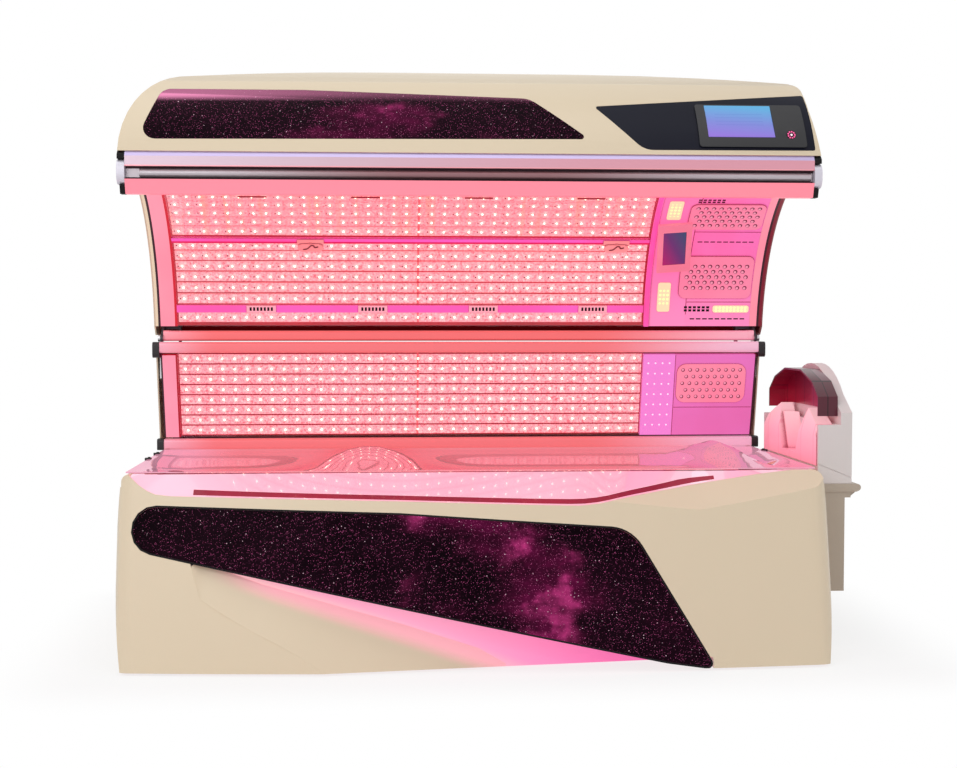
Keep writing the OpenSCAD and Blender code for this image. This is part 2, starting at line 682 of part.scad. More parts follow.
// Rail section: rounded front, flat back; hollow where a wall is given
module rail_section(y0, y1, z0, z1, t = 0) {
  r = (z1 - z0) / 4;
  difference() {
    polygon(concat(arc_pts([y0 + r, z1 - r], r, 90, 180, 6), arc_pts([y0 + r, z0 + r], r, 180, 270, 6),
      [[y1, z0], [y1, z1]]));
    if (t > 0) translate([y0 + r, z0 + t]) square([y1 - t - y0 - r, z1 - z0 - 2 * t]);
  }
}
module side_rails() {
  x = rail_half - cap_w - gap;
  color([0.78, 0.76, 0.79]) in_frame() {
    along_x(-x, x) rail_section(side_y - 18, side_y + 36, side_top - side_rail_h, side_top, 3);
    along_x(-x, x) rail_section(low_rail_y - 12, low_rail_y + 34, ledge_z + 0.3, low_rail_top, 3);
  }
}
module side_rail_caps() {
  color([0.05, 0.05, 0.06]) in_frame() both_ends() {
    along_x(rail_half - cap_w, rail_half)
      rail_section(side_y - 20, side_y + 36, side_top - side_rail_h - 18, side_top);
    along_x(rail_half - cap_w, rail_half)
      rail_section(low_rail_y - 14, low_rail_y + 34, ledge_z + 0.3, low_rail_top + 1);
  }
}
module side_reflector() {
  color([0.85, 0.84, 0.86]) in_frame()
    difference() {
      side_frame() box([-side_out + 0.5, 32, -side_face_h + 2], [side_out - 0.5, 34, -14]);
      box([foot(-60), 0, side_top - side_rail_h - 0.5], [head(-60), 700, side_top + 200]);
      box([foot(-60), 0, 0], [head(-60), low_rail_y + 36, low_rail_top + 0.5]);
    }
}
module side_lamps() {
  color([1, 0.72, 0.68]) in_frame() side_frame()
    for (i = [0:side_strips - 1]) {
      u = -9 - side_pitch * (i + 0.5);
      box([lamp_x0 + 4, 31.5 - strip_t - 8, u - strip_w / 2], [lamp_x1 - 4, 31.5, u + strip_w / 2]);
    }
}
module side_acrylic() {
  color([1, 0.8, 0.86, 0.4]) in_frame() side_frame()
    box([lamp_x0, 1, -side_face_h + 6], [lamp_x1, 1 + acryl_t, -3]);
}
module side_cheek() {
  color([1, 0.6, 0.7]) in_frame() side_frame() {
    difference() {
      box([-side_out, 1, -side_face_h + 6], [lamp_x0 - 0.3, 31, -12]);
      box([-side_out + 4, 5, -side_face_h], [lamp_x0 - 4.3, 40, 0]);
    }
  }
}
module side_speaker_panel() {
  z0 = -side_face_h + 6;
  color([0.95, 0.6, 0.85]) in_frame() side_frame() {
    difference() {
      box([lamp_x1 + 0.3, 1, z0], [side_out, 31, -12]);
      box([lamp_x1 + 4.3, 6, z0 - 5], [side_out - 4, 40, -16]);
      // Shallow seat of the perforated pad
      along_y(-1, 3) polygon(belt(round_rect(rail(327), -182, rail(67), -58, 26)));
      // Groove between the dotted strip and the magenta panel
      box([rail(339), 0, z0 - 1], [rail(336), 3, 1]);
      box([rail(336), 0, -222], [rail(35), 3, -219]);
    }
    difference() {
      along_y(0, 3 - gap) polygon(belt(round_rect(rail(325), -180, rail(69), -60, 24)));
      for (r = [0:4], c = [0:8 - r % 2])
        translate([rail(307) + c * 27 + (r % 2) * 13.5, 5, -82 - r * 19])
          rotate([90, 0, 0]) cylinder(r = 6.5, h = 10, $fn = 16);
    }
  }
}
// Moulded back of the side tanner with its ends; the drives and pylons stand inside it
side_back = 522;
module side_end_outline() {
  polygon(concat([[low_rail_y + 36, ledge_z + 0.3], [side_back, ledge_z + 0.3]],
    arc_pts([side_back - 44, side_top - 4 - 44], 44, 0, 90, 8),
    [[side_y + 42, side_top - 4], [low_rail_y + 36, low_rail_top + 12]]));
}
module side_rear_cover() {
  out = rail_half - 3;
  color([0.85, 0.79, 0.69]) in_frame()
    difference() {
      along_x(-out, out) side_end_outline();
      along_x(-out + wall, out - wall)
        polygon(concat([[0, ledge_z - 100], [side_back - wall, ledge_z - 100]],
          arc_pts([side_back - 44, side_top - 48], 44 - wall, 0, 90, 8),
          [[side_y + 44, side_top - 4 - wall], [side_y + 44, side_top + 50], [0, side_top + 50]]));
      // Slots for the hinge arms and the drive levers
      both_ends() box([drive_x - 20, 250, hinge_z - 40], [out - wall, hinge_y + 123, side_top + 20]);
      for (x = [foot(440), head(1040)], i = [0:5])
        box([x, side_back - wall - 2, ledge_z + 152 + i * 20], [x + 200, side_back + 2, ledge_z + 160 + i * 20]);
    }
}

// ---------- hinge and drive ----------

module hinge_brackets() {
  color([0.7, 0.7, 0.73]) in_frame() both_ends()
    difference() {
      union() {
        along_x(bracket_x, bracket_x + lug_t) {
          difference() {
            union() {
              translate([hinge_y, hinge_z]) circle(r = eye_r, $fn = 64);
              polygon([[hinge_y + 4, hinge_z + eye_r - 1], [hinge_y, side_top + 2], [side_y + 46, side_top + 2],
                [side_y + 46, hinge_z - 150], [440, hinge_z - 190], [440, hinge_z - 94], [360, hinge_z - 24],
                [330, hinge_z + eye_r - 1]]);
            }
            translate([0, side_top - 60]) square([side_y + 42, 62 - 0.5]);
          }
        }
        box([pylon_x1 + 0.3, 404, hinge_z - 188], [bracket_x, 440, hinge_z - 94]);
      }
      along_x(bracket_x - 20, bracket_x + 20) translate([hinge_y, hinge_z]) circle(r = pin_r + pin_fit, $fn = 64);
    }
}
module hinge_pins() {
  color([0.82, 0.82, 0.84]) in_frame() both_ends() along_x(arm_x - 0.4, bracket_x + lug_t + 1)
    translate([hinge_y, hinge_z]) circle(r = pin_r, $fn = 64);
}

// Open end of the drive: the spindle's eye pin rides in a radial slot of the canopy's lever
function on_lever(a, r = lever_r) = [hinge_y + r * cos(a), hinge_z + r * sin(a)];
lever_open = on_lever(-lever_a);
drive_dir = lever_open - [drive_y, drive_z];
drive_l = norm(drive_dir);
drive_a = atan2(-drive_dir.x, drive_dir.y);
slot_run = lever_r * (1 - cos(close_a / 2)) + 4;
lever_x = drive_x + 16;
module on_drive() { translate([0, drive_y, drive_z]) rotate([drive_a, 0, 0]) children(); }
drive_tube_l = 300;
module drive_tubes() {
  color([0.32, 0.33, 0.35]) in_frame() both_ends() translate([drive_x, 0, 0]) on_drive() {
    difference() {
      union() {
        translate([0, 0, 34]) cylinder(r = tube_r, h = drive_tube_l - 34, $fn = 64);
        box([-9, -14, -14], [9, 14, 36]);
        // Gear motor strapped beside the tube
        box([-14, tube_r - 6, 60], [14, tube_r + 12, 190]);
      }
      translate([0, 0, 40]) cylinder(r = spindle_r + 0.5, h = drive_tube_l, $fn = 48);
    }
    along_x(-17.5, 17.5) circle(r = drive_pin_r, $fn = 48);
  }
}
module drive_spindles() {
  color([0.8, 0.8, 0.82]) in_frame() both_ends() translate([drive_x, 0, 0]) on_drive() {
    translate([0, 0, 120]) cylinder(r = spindle_r, h = drive_l - 120 - 14, $fn = 48);
    box([-4, -11, drive_l - 18], [8, 11, drive_l + 11]);
    along_x(7, 28) translate([0, drive_l]) circle(r = drive_pin_r, $fn = 48);
  }
}

// ---------- canopy ----------

arch_c = [hinge_y - arch_r + arch_back, hinge_z - arch_drop];
arch_a0 = 8.2;
arch_a1 = 93.6;
arch_end = arch_c + arch_r * [cos(arch_a1), sin(arch_a1)];
rail_front = rail_out - arch_end.x;
rail_z = arch_end.y - rail_drop;
// A piece bent along the arch: a band of radius r0 to r1, from angle a0 to a1
module arch_band(x0, x1, r0, r1, a0, a1) {
  along_x(x0, x1) translate(arch_c) difference() {
    intersection() {
      circle(r = r1, $fn = 180);
      polygon([[0, 0], [2 * r1 * cos(a0), 2 * r1 * sin(a0)], [2 * r1 * cos((a0 + a1) / 2), 2 * r1 * sin((a0 + a1) / 2)],
        [2 * r1 * cos(a1), 2 * r1 * sin(a1)]]);
    }
    circle(r = r0, $fn = 180);
  }
}
// Places a child at an angle of the arch: z outward, y down the arch
module on_arch(a, r) {
  translate([0, arch_c.x + r * cos(a), arch_c.y + r * sin(a)]) rotate([a - 90, 0, 0]) children();
}
function arch_step(s) = s / arch_r * 180 / PI;

shell_z = rail_z + rail_h + gap;
face_c = [-rail_front + 5 + face_r * cos(face_lean), shell_z - face_r * sin(face_lean)];
crown_a = 100;
back_a = 35;
back_r = 800;
tail_a = 12;
foot_r = 45;
foot_c = [hinge_y + foot_back, hinge_z + foot_r + 11.3];
// The crown and the straight tail are as long as it takes to reach from the face to the foot
function dir(a) = [cos(a), sin(a)];
reach = foot_c - face_c - face_r * dir(crown_a) + back_r * dir(back_a) - (back_r - foot_r) * dir(tail_a);
crown_r = reach * dir(tail_a) / ((dir(back_a) - dir(crown_a)) * dir(tail_a));
tail_l = (reach - crown_r * (dir(back_a) - dir(crown_a))) * dir(tail_a - 90);
crown_c = face_c + (face_r - crown_r) * [cos(crown_a), sin(crown_a)];
back_c = crown_c + (crown_r - back_r) * [cos(back_a), sin(back_a)];
tail_p = back_c + back_r * [cos(tail_a), sin(tail_a)] + tail_l * [sin(tail_a), -cos(tail_a)];
function shell_pts(d) = concat(
  arc_pts(face_c, face_r - d, 180 - face_lean, crown_a, 12), arc_pts(crown_c, crown_r - d, crown_a, back_a, 8),
  arc_pts(back_c, back_r - d, back_a, tail_a, 4), arc_pts(foot_c, foot_r - d, tail_a, -90, 6));

// Crown and end corners seen from the front: a long quarter ellipse at the foot end, a tight
// corner at the head end
foot_corner = [183, 275];
head_corner_r = 30;
crown_z = crown_c.y + crown_r + 0.8;
function crown_at(x) = crown_z - pow(x - 40, 2) / (2 * crown_bow);
function end_pts(d) = let (h = rail_half - 2, x0 = -h + d, z0 = shell_z, xc = -h + foot_corner.x,
    zc = crown_at(xc), xr = h - 17) concat(
  [[x0, hinge_z - 130]], [for (i = [0:9]) let (a = i * 9.4)
    [x0 + (foot_corner.x - d) * (1 - cos(a)), z0 + (zc - z0 - d) * sin(a)]],
  [for (i = [1:12]) let (x = xc + (xr - head_corner_r - xc) * i / 12) [x, crown_at(x) - d]],
  arc_pts([xr - head_corner_r, crown_at(xr) - head_corner_r], head_corner_r - d, 80, 0, 5),
  [[xr - d + 1, shell_z + 160], [h - d, shell_z], [h - d, hinge_z - 130]]);

module canopy_envelope(d) {
  inner = d > 0;
  h = rail_half - 2;
  intersection() {
    along_x(-h + d, h - d)
      polygon(concat(shell_pts(d), inner
        ? [[foot_c.x - 30, foot_c.y - foot_r + d], [foot_c.x - 30, hinge_z - 130], [0, hinge_z - 130],
          [-rail_front + 50, shell_z - 40],
          [-rail_front + 50, shell_z], [face_c.x - (face_r - d) * cos(face_lean), shell_z]]
        : [[hinge_y + 38, foot_c.y - foot_r], [hinge_y + 4, hinge_z + 50], [-rail_front + 56, shell_z]]));
    along_y(-600, 700) polygon(end_pts(d));
  }
}
module arch_core(grow = 0) {
  along_x(-1200, 1200) translate(arch_c) circle(r = arch_r + grow, $fn = 180);
}

// Trim panel of the canopy face, and the control fascia beside it
function up(d) = shell_z + d;
canopy_swoosh = [[[-rail(119), up(80.5)], 40], [[rail(795), up(59.5)], 9], [[rail(985), up(117.5)], 80],
  [[-rail(585), up(196.5)], 26], [[-rail(153), up(183.5)], 38]];
fascia = [[[rail(558), up(90.5)], 75], [[rail(26), up(23.5)], 6], [[rail(28), up(213.5)], 6],
  [[rail(729), up(163.5)], 6]];
module face_cut(cs, grow) { along_y(-600, -180) polygon(belt(cs, grow)); }
module face_skin(d0, d1, cs, grow) {
  intersection() {
    along_x(-rail_half, rail_half) difference() {
      polygon(concat(shell_pts(d0), [[0, 1200], [-rail_front + 60, shell_z]]));
      polygon(concat([[-rail_front - 60, shell_z - 300]], shell_pts(d1), [[0, 1200]]));
    }
    face_cut(cs, grow);
  }
}
// Places a child on the canopy face at height z: local x along the bed, y up the face, z outward
function face_a(z) = asin((z - face_c.y) / face_r);
module on_face(x, z) {
  a = face_a(z);
  translate([x, face_c.x - face_r * cos(a), z]) rotate([90 - a, 0, 0]) children();
}

module canopy_shell() {
  color([0.86, 0.8, 0.71]) in_frame()
    difference() {
      canopy_envelope(0);
      arch_core(gap);
      canopy_envelope(wall);
      face_skin(-3, trim_t + 0.5, canopy_swoosh, gap);
      face_skin(-3, trim_t + 0.5, fascia, gap);
      // Exhaust grilles in the back of the canopy
      for (x = [foot(720), head(960), head(360)], i = [0:7])
        translate([0, back_c.x, back_c.y]) rotate([20 + i * 1.7, 0, 0])
          box([x - 95, back_r - 20, -4.5], [x + 95, back_r + 20, 4.5]);
      on_face(button_x, button_z) translate([0, 0, -30]) cylinder(r = button_r - 3.5, h = 40, $fn = 48);
      // Slots in the foot for the hinge arms
      both_ends() box([rail(95), hinge_y - 62, hinge_z - 30], [rail(9), foot_c.x - 30.1, hinge_z + 26]);
      // Lower corner behind the rear rail
      box([-rail(35), hinge_y - 62, hinge_z - 30], [rail(35), foot_c.x - 30.1, hinge_z + 29]);
    }
}
module canopy_trim_panel() {
  color([0.16, 0.06, 0.14]) in_frame() face_skin(0, trim_t, canopy_swoosh, 0);
}
screen_x = rail(262);
screen_z = up(117.5);
bezel_t = 6;
button_x = rail(96);
button_z = up(68.5);
bezel = round_rect(rail(405), up(27.5), rail(47), up(179.5), 10);
module control_fascia() {
  color([0.1, 0.1, 0.15]) in_frame()
    difference() {
      face_skin(0, trim_t, fascia, 0);
      on_face(button_x, button_z) translate([0, 0, -20]) cylinder(r = button_r + gap, h = 40, $fn = 64);
    }
}
module display_bezel() {
  color([0.08, 0.08, 0.1]) in_frame()
    difference() {
      face_skin(-bezel_t, -0.3, bezel, 0);
      on_face(screen_x, screen_z)
        box([-screen_w / 2 - gap, -screen_h / 2 - gap, -8], [screen_w / 2 + gap, screen_h / 2 + gap, 30]);
      on_face(button_x, button_z) translate([0, 0, -20]) cylinder(r = button_r + gap, h = 40, $fn = 64);
    }
}
module display_screen() {
  color([0.35, 0.6, 0.9]) in_frame() on_face(screen_x, screen_z)
    box([-screen_w / 2, -screen_h / 2, 0.3], [screen_w / 2, screen_h / 2, 2.3]);
}
module start_button() {
  color([0.75, 0.2, 0.4]) in_frame() on_face(button_x, button_z) {
    translate([0, 0, -6]) cylinder(r = button_r - 4, h = 8, $fn = 64);
    translate([0, 0, 1]) cylinder(r = button_r, h = bezel_t + button_travel - 0.5, $fn = 64);
  }
}

// Front rail: an extrusion with a chamfered top and a finger groove along its face
rail_y = -rail_front;
groove_z = rail_z + 46;
groove_h = 42;
module front_rail_section() {
  difference() {
    polygon([[rail_y + 10, rail_z + rail_h], [rail_y, rail_z + rail_h - 16], [rail_y, rail_z + 48],
      [rail_y + 16, rail_z], [rail_y + rail_d, rail_z], [rail_y + rail_d, rail_z + rail_h]]);
    polygon([[rail_y - 5, groove_z], [rail_y + 22, groove_z + 2], [rail_y + 22, groove_z + groove_h - 2],
      [rail_y - 5, groove_z + groove_h]]);
    translate([rail_y + 28, rail_z + 8]) square([rail_d - 32, rail_h - 16]);
  }
}
module front_rail() {
  x = rail_half - cap_w - gap;
  color([0.8, 0.77, 0.8]) in_frame() {
    along_x(-x, x) front_rail_section();
    // Rounded bar in the groove
    along_x(45 - x, x - 8) translate([rail_y + 22, groove_z + groove_h / 2]) intersection() {
      circle(r = 14, $fn = 48);
      translate([-20, -14]) square([20.5, 28]);
    }
  }
}
module front_rail_caps() {
  color([0.85, 0.84, 0.86]) in_frame() both_ends()
    along_x(rail_half - cap_w, rail_half) {
      r = 30;
      z0 = rail_z + 30;
      z1 = rail_z + rail_h - 26;
      intersection() {
        polygon(concat(arc_pts([rail_y - 4 + r, z1 - r], r, 90, 180, 6),
          arc_pts([rail_y - 4 + r, z0 + r], r, 180, 270, 6), [[rail_y + rail_d, z0], [rail_y + rail_d, z1]]));
        translate([rail_y - 10, z0]) square([rail_d + 10, z1 - z0]);
      }
    }
}
module front_rail_seals() {
  color([0.04, 0.04, 0.05]) in_frame() both_ends() {
    along_x(rail_half - cap_w, rail_half - 1)
      polygon([[rail_y + 24, rail_z + rail_h - 26 + gap], [rail_y + 2, rail_z + rail_h - 26 + gap],
        [rail_y + 2, rail_z + rail_h - 12], [rail_y + 14, rail_z + rail_h], [rail_y + rail_d, rail_z + rail_h],
        [rail_y + rail_d, rail_z + rail_h - 26 + gap]]);
    along_x(rail_half - cap_w, rail_half - 8)
      polygon([[rail_y + 8, rail_z + 30 - gap], [rail_y + 18, rail_z], [rail_y + rail_d, rail_z],
        [rail_y + rail_d, rail_z + 30 - gap]]);
  }
}

rear_rail_z0 = side_top + 3.5;
rear_rail_h = 38;
module canopy_rear_rail() {
  color([0.74, 0.72, 0.75]) in_frame() {
    along_x(-rail(58), rail(58)) rail_section(hinge_y + 1, hinge_y + 42, rear_rail_z0, rear_rail_z0 + rear_rail_h, 3);
    both_ends() along_x(rail(58) + 0.3, arm_x - 0.5)
      rail_section(hinge_y + 1, hinge_y + 42, rear_rail_z0, rear_rail_z0 + rear_rail_h + 1);
  }
}

rib_r0 = arch_r + 24.3;
tube_out = rib_r0 + 37;
fan_a = 42;
canopy_fan_r = 66;
module canopy_frame() {
  color([0.3, 0.31, 0.33]) in_frame() {
    both_ends() difference() {
      union() {
        // Hinge arm with its eye
        along_x(arm_x, arm_x + lug_t) {
          translate([hinge_y, hinge_z]) circle(r = eye_r, $fn = 64);
          translate([hinge_y, hinge_z]) polygon([[2, eye_r - 0.2], [10, 3 - eye_r], [98, 20], [104, 80], [68, 120],
            [arch_c.x + rib_r0 - hinge_y, 55]]);
        }
        arch_band(arm_x, arm_x + lug_t, rib_r0, rib_r0 + 44, 9.5, 92);
      }
      along_x(arm_x - 100, arm_x + 30) translate([hinge_y, hinge_z]) circle(r = pin_r + pin_fit, $fn = 64);
    }
    // Drive levers with their radial slots, carried by a short beam
    both_ends() {
      along_x(lever_x, lever_x + lug_t) difference() {
        union() {
          translate(lever_open) circle(r = drive_pin_r + 8, $fn = 48);
          polygon([on_lever(-lever_a - 8.5), on_lever(-lever_a + 8.5), [hinge_y + 100, hinge_z + 32],
            [hinge_y + 100, hinge_z + 66], [hinge_y + 60, hinge_z + 66], [hinge_y + 56, hinge_z + 10]]);
        }
        for (s = [0:0.5:1]) translate(on_lever(-lever_a, lever_r - slot_run * s))
          circle(r = drive_pin_r + 1.6, $fn = 48);
        rotate_about(lever_open, -lever_a) translate([-slot_run, -drive_pin_r - 1.6])
          square([slot_run, 2 * drive_pin_r + 3.2]);
      }
      box([lever_x + lug_t, hinge_y + 60, hinge_z + 32], [arm_x, hinge_y + 100, hinge_z + 66]);
    }
    // Long tubes that join the two ends; the fan stands on two of them
    for (a = [12, fan_a - 5, fan_a + 5, 70, 88]) on_arch(a, tube_out) difference() {
      box([-arm_x - 1, -15, -30], [arm_x + 1, 15, 0]);
      box([-arm_x, -12, -27], [arm_x, 12, 1]);
    }
    on_arch(fan_a, tube_out - 3) fan_housing(canopy_fan_r, 30);
  }
}
module rotate_about(p, a) { translate(p) rotate(a) children(); }
module canopy_fan_rotor() {
  color([0.12, 0.12, 0.13]) in_frame() on_arch(fan_a, tube_out - 3) fan_rotor(canopy_fan_r, 30);
}

// Angles of the rows on the arch, counted up from the rear rail
row_a = arch_step(lamp_pitch);
row_0 = arch_a0 + 0.9;
vent_a0 = row_0 + row_a;
vent_a1 = vent_a0 + arch_step(27);
div_a0 = vent_a1 + 6 * row_a;
div_a1 = div_a0 + arch_step(21);
top_rows = floor((arch_a1 - div_a1) / row_a);
row_starts = concat([row_0], [for (i = [0:5]) vent_a1 + i * row_a], [for (i = [0:top_rows - 1]) div_a1 + i * row_a]);

module canopy_lamps() {
  color([1, 0.72, 0.68]) in_frame()
    for (a = row_starts) on_arch(a + row_a / 2, arch_r + 21.4)
      box([lamp_x0 + 4, -strip_w / 2, -strip_t], [lamp_x1 - 4, strip_w / 2, 0]);
}
module canopy_reflector() {
  color([0.86, 0.86, 0.88]) in_frame() arch_band(-arm_x - lug_t, arm_x + lug_t, arch_r + 22, arch_r + 24, arch_a0, arch_a1);
}
module canopy_acrylic() {
  color([1, 0.8, 0.86, 0.4]) in_frame() {
    arch_band(lamp_x0, lamp_x1, arch_r, arch_r + acryl_t, arch_a0, vent_a0 - 0.03);
    arch_band(lamp_x0, lamp_x1, arch_r, arch_r + acryl_t, vent_a1 + 0.03, div_a0 - 0.03);
    arch_band(lamp_x0, lamp_x1, arch_r, arch_r + acryl_t, div_a1 + 0.03, arch_a1);
  }
}
vent_x = [for (i = [0:3]) lamp_x0 + 256 + i * (lamp_x1 - lamp_x0 - 504) / 3];
module vent_bar() {
  color([0.9, 0.5, 0.8]) in_frame() difference() {
    union() {
      arch_band(lamp_x0, lamp_x1, arch_r - 1, arch_r + 9, vent_a0, vent_a1);
      for (x = vent_x) arch_band(x, x + 108, arch_r - 4, arch_r + 2, vent_a0 + 0.1, vent_a1 - 0.1);
    }
    for (x = vent_x, i = [0:6]) on_arch((vent_a0 + vent_a1) / 2, arch_r)
      box([x + 11 + i * 13, -7, -6], [x + 19 + i * 13, 7, 12]);
  }
}
module canopy_dividers() {
  color([0.85, 0.15, 0.55]) in_frame() {
    arch_band(lamp_x0, lamp_x1, arch_r - 2, arch_r + 9, div_a0, div_a1);
    // Arched tube between the body lamps and the face section
    translate([divide_x, arch_c.x, arch_c.y]) rotate([0, 90, 0]) rotate([0, 0, 90])
      rotate(arch_a0) rotate_extrude(angle = arch_a1 - arch_a0, $fn = 180)
        translate([arch_r - 4, 0]) circle(r = divide_r, $fn = 24);
  }
}
latch_x = [-rail(585), rail(585)];
module acrylic_latches() {
  color([1, 0.62, 0.62]) in_frame() for (x = latch_x) translate([x, 0, 0]) {
    on_arch((div_a0 + div_a1) / 2 - 0.6, arch_r - 2.4) {
      box([-48, -14, -3], [48, 10, 0]);
      translate([0, 14, -5]) cylinder(r = 16, h = 5, $fn = 48);
      translate([0, 14, -8]) cylinder(r = 5, h = 3.5, $fn = 24);
    }
  }
}
module canopy_cheeks() {
  color([1, 0.6, 0.7]) in_frame() for (x = [[-cheek_out + 0.3, lamp_x0 - 0.3], [head_panel_x1 + 0.3, cheek_out - 0.3]]) {
    // A flange over the side, turned outwards along the lamps
    flange = x[0] < 0 ? [x[0] - 1, x[1] - 4] : [x[0] + 4, x[1] + 1];
    difference() {
      arch_band(x[0], x[1], arch_r, arch_r + 21.7, arch_a0, arch_a1);
      arch_band(flange[0], flange[1], arch_r + 4, arch_r + 30, arch_a0 - 2, arch_a1 + 2);
    }
  }
}

// Head-end section: two columns of face and shoulder panels
column_x = rail(299);
module pad_cut(x0, x1, a0, a1, d, grow) {
  on_arch((a0 + a1) / 2, arch_r) translate([0, 0, -20])
    linear_extrude(20 + d) polygon(belt(round_rect(x0, -arch_len(a0, a1) / 2, x1, arch_len(a0, a1) / 2, 26), grow));
}
function arch_len(a0, a1) = (a1 - a0) * PI / 180 * arch_r;
pad_x = [rail(333), rail(57)];
pads = [[18, 33.3], [44.4, 55.9], [70, 82]];
module face_panel() {
  color([0.98, 0.55, 0.78]) in_frame() difference() {
    arch_band(head_panel_x0, head_panel_x1, arch_r, arch_r + 12, arch_a0, arch_a1);
    for (p = pads) pad_cut(pad_x[0], pad_x[1], p[0], p[1], 6, 0);
    for (s = strips) strip_cut(s, 5, 0.4);
    // Ridge grooves across the second column
    for (a = [16.4, 42.9, 64, 67.5]) arch_band(column_x, head_panel_x1 + 1, arch_r - 5, arch_r + 3, a, a + 0.3);
    arch_band(column_x - 3, column_x, arch_r - 5, arch_r + 4, arch_a0 + 4, arch_a1 - 4);
    // Slot rows under and over the lower pad, and the square vents
    for (a = [10.7, 38.9], i = [0:8]) on_arch(a, arch_r) box([column_x + 16 + i * 24, -2.5, -8], [column_x + 34 + i * 24, 2.5, 20]);
    for (i = [0:5], j = [0, 1]) on_arch(14.2, arch_r)
      box([column_x - 8 + i * 17, -10 + j * 12, -8], [column_x + 4 + i * 17, -1 + j * 12, 20]);
    for (i = [0:5], j = [0, 1]) on_arch(57.4, arch_r)
      box([column_x - 14 + i * 17, -10 + j * 12, -8], [column_x - 2 + i * 17, -1 + j * 12, 20]);
  }
}
module face_pads() {
  color([0.95, 0.62, 0.7]) in_frame() for (p = pads) difference() {
    intersection() {
      arch_band(pad_x[0], pad_x[1], arch_r - 5, arch_r + 5, p[0], p[1]);
      pad_cut(pad_x[0], pad_x[1], p[0], p[1], 40, -1);
    }
    for (r = [0:4], c = [0:8 - r % 2])
      on_arch((p[0] + p[1]) / 2, arch_r) translate([pad_x[0] + 26 + c * 28 + (r % 2) * 14, (r - 2) * 22, -20])
        cylinder(r = 7, h = 40, $fn = 16);
  }
}
// Lit strips, as [x0, x1, first angle, last angle]
strips = [[rail(411), rail(363), 13.2, 23.4], [rail(415), rail(363), 48.4, 57.2], [rail(197), rail(59), 12.9, 15.3]];
module strip_cut(s, d, grow) {
  on_arch((s[2] + s[3]) / 2, arch_r) translate([0, 0, -20]) linear_extrude(20 + d)
    polygon(belt(round_rect(s[0], -arch_len(s[2], s[3]) / 2, s[1], arch_len(s[2], s[3]) / 2, 8), grow));
}
module light_strips() {
  color([1, 0.95, 0.8]) in_frame() for (s = strips) intersection() {
    arch_band(s[0] - 2, s[1] + 2, arch_r - 1.5, arch_r + 4, s[2] - 1, s[3] + 1);
    strip_cut(s, 30, 0);
  }
}
tablet_a = 38.6;
module head_tablet() {
  color([0.9, 0.5, 0.6]) in_frame() on_arch(tablet_a, arch_r - 0.7) translate([rail(375), 0, 0]) {
    difference() {
      translate([0, 0, -32]) rotate([0, 0, -5]) box([-62, -106, -7], [62, 106, 5]);
      translate([0, 0, -32]) rotate([0, 0, -5]) box([-42, -72, -9], [42, 72, -4]);
    }
    box([-20, -20, -36], [20, 20, 0]);
  }
}

// ---------- head unit ----------

module head_at() { translate([0, -head_y, head_z]) children(); }
head_shoulder = 238;
function head_arch(e) = let (r = 360) concat(
  [[-head_half + e, e], [head_half - e, e], [head_half - e, head_shoulder - e]],
  arc_pts([0, head_h - r], r - e, 46, 134, 12), [[-head_half + e, head_shoulder - e]]);
hood_x0 = head_x + 12;
hood_x1 = hood_x0 + 68;
module head_housing() {
  color([0.81, 0.79, 0.78]) in_frame() head_at() difference() {
    along_x(head_x + 3, head_x + head_d) polygon(head_arch(0));
    // The hood and cradle stand in this rebate
    along_x(head_x - 5, hood_x1 + 0.3) square_at(-head_half - 20, 198, head_half + 20, 453);
    along_x(head_x - 5, head_x + 66.3) square_at(-head_half + 12, 60, head_half - 12, 213);
    along_x(head_x + 8, head_x + head_d - 6) square_at(-head_half + 8, -5, head_half - 8, 54);
    // Seam between the two shells of the housing
    for (s = [-1, 1]) translate([head_x - 10, s * head_half, 70]) rotate([0, 22, 0])
      box([0, -3, 0], [160, 3, 3]);
  }
}
module square_at(x0, y0, x1, y1) { polygon([[x0, y0], [x1, y0], [x1, y1], [x0, y1]]); }
module head_cradle() {
  color([0.95, 0.85, 0.87]) in_frame() head_at() difference() {
    along_x(head_x, head_x + 66) polygon([[-head_half + 12 + gap, 60 + gap],
      [head_half - 12 - gap, 60 + gap], [head_half - 12 - gap, 153], [300, 195], [240, 221], [173, 246],
      [150, 215], [-150, 215], [-173, 246], [-240, 221], [-300, 195], [-head_half + 12 + gap, 153]]);
    // Hollow for the crown of the head, widening upwards
    translate([head_x - 30, 0, 85]) cylinder(r1 = 84, r2 = 150, h = 170, $fn = 96);
    along_x(head_x - 5, head_x + 20) polygon([[-84, 85], [84, 85], [168, 253], [-168, 253]]);
    // The fins thin out towards their tips
    translate([head_x - 2, -400, 153]) rotate([0, 14, 0]) box([-40, 0, 0], [0, 800, 120]);
  }
}
hood_pts = [[-310, 225], [-310, 291], [-236, 341], [-100, 377], [100, 377], [236, 341], [310, 291], [310, 225]];
module head_hood() {
  color([0.35, 0.03, 0.08]) in_frame() head_at() {
    difference() {
      along_x(hood_x0, hood_x1) polygon(hood_pts);
      along_x(hood_x0 - 1, hood_x1 - hood_t) polygon([[-304, 213], [-304, 288], [-233, 335], [-99, 371],
        [99, 371], [233, 335], [304, 288], [304, 213]]);
      along_x(hood_x0 - 1, hood_x1 + 1) polygon([[-210, 153], [-230, 251 - hood_t], [230, 251 - hood_t], [210, 153]]);
    }
  }
}
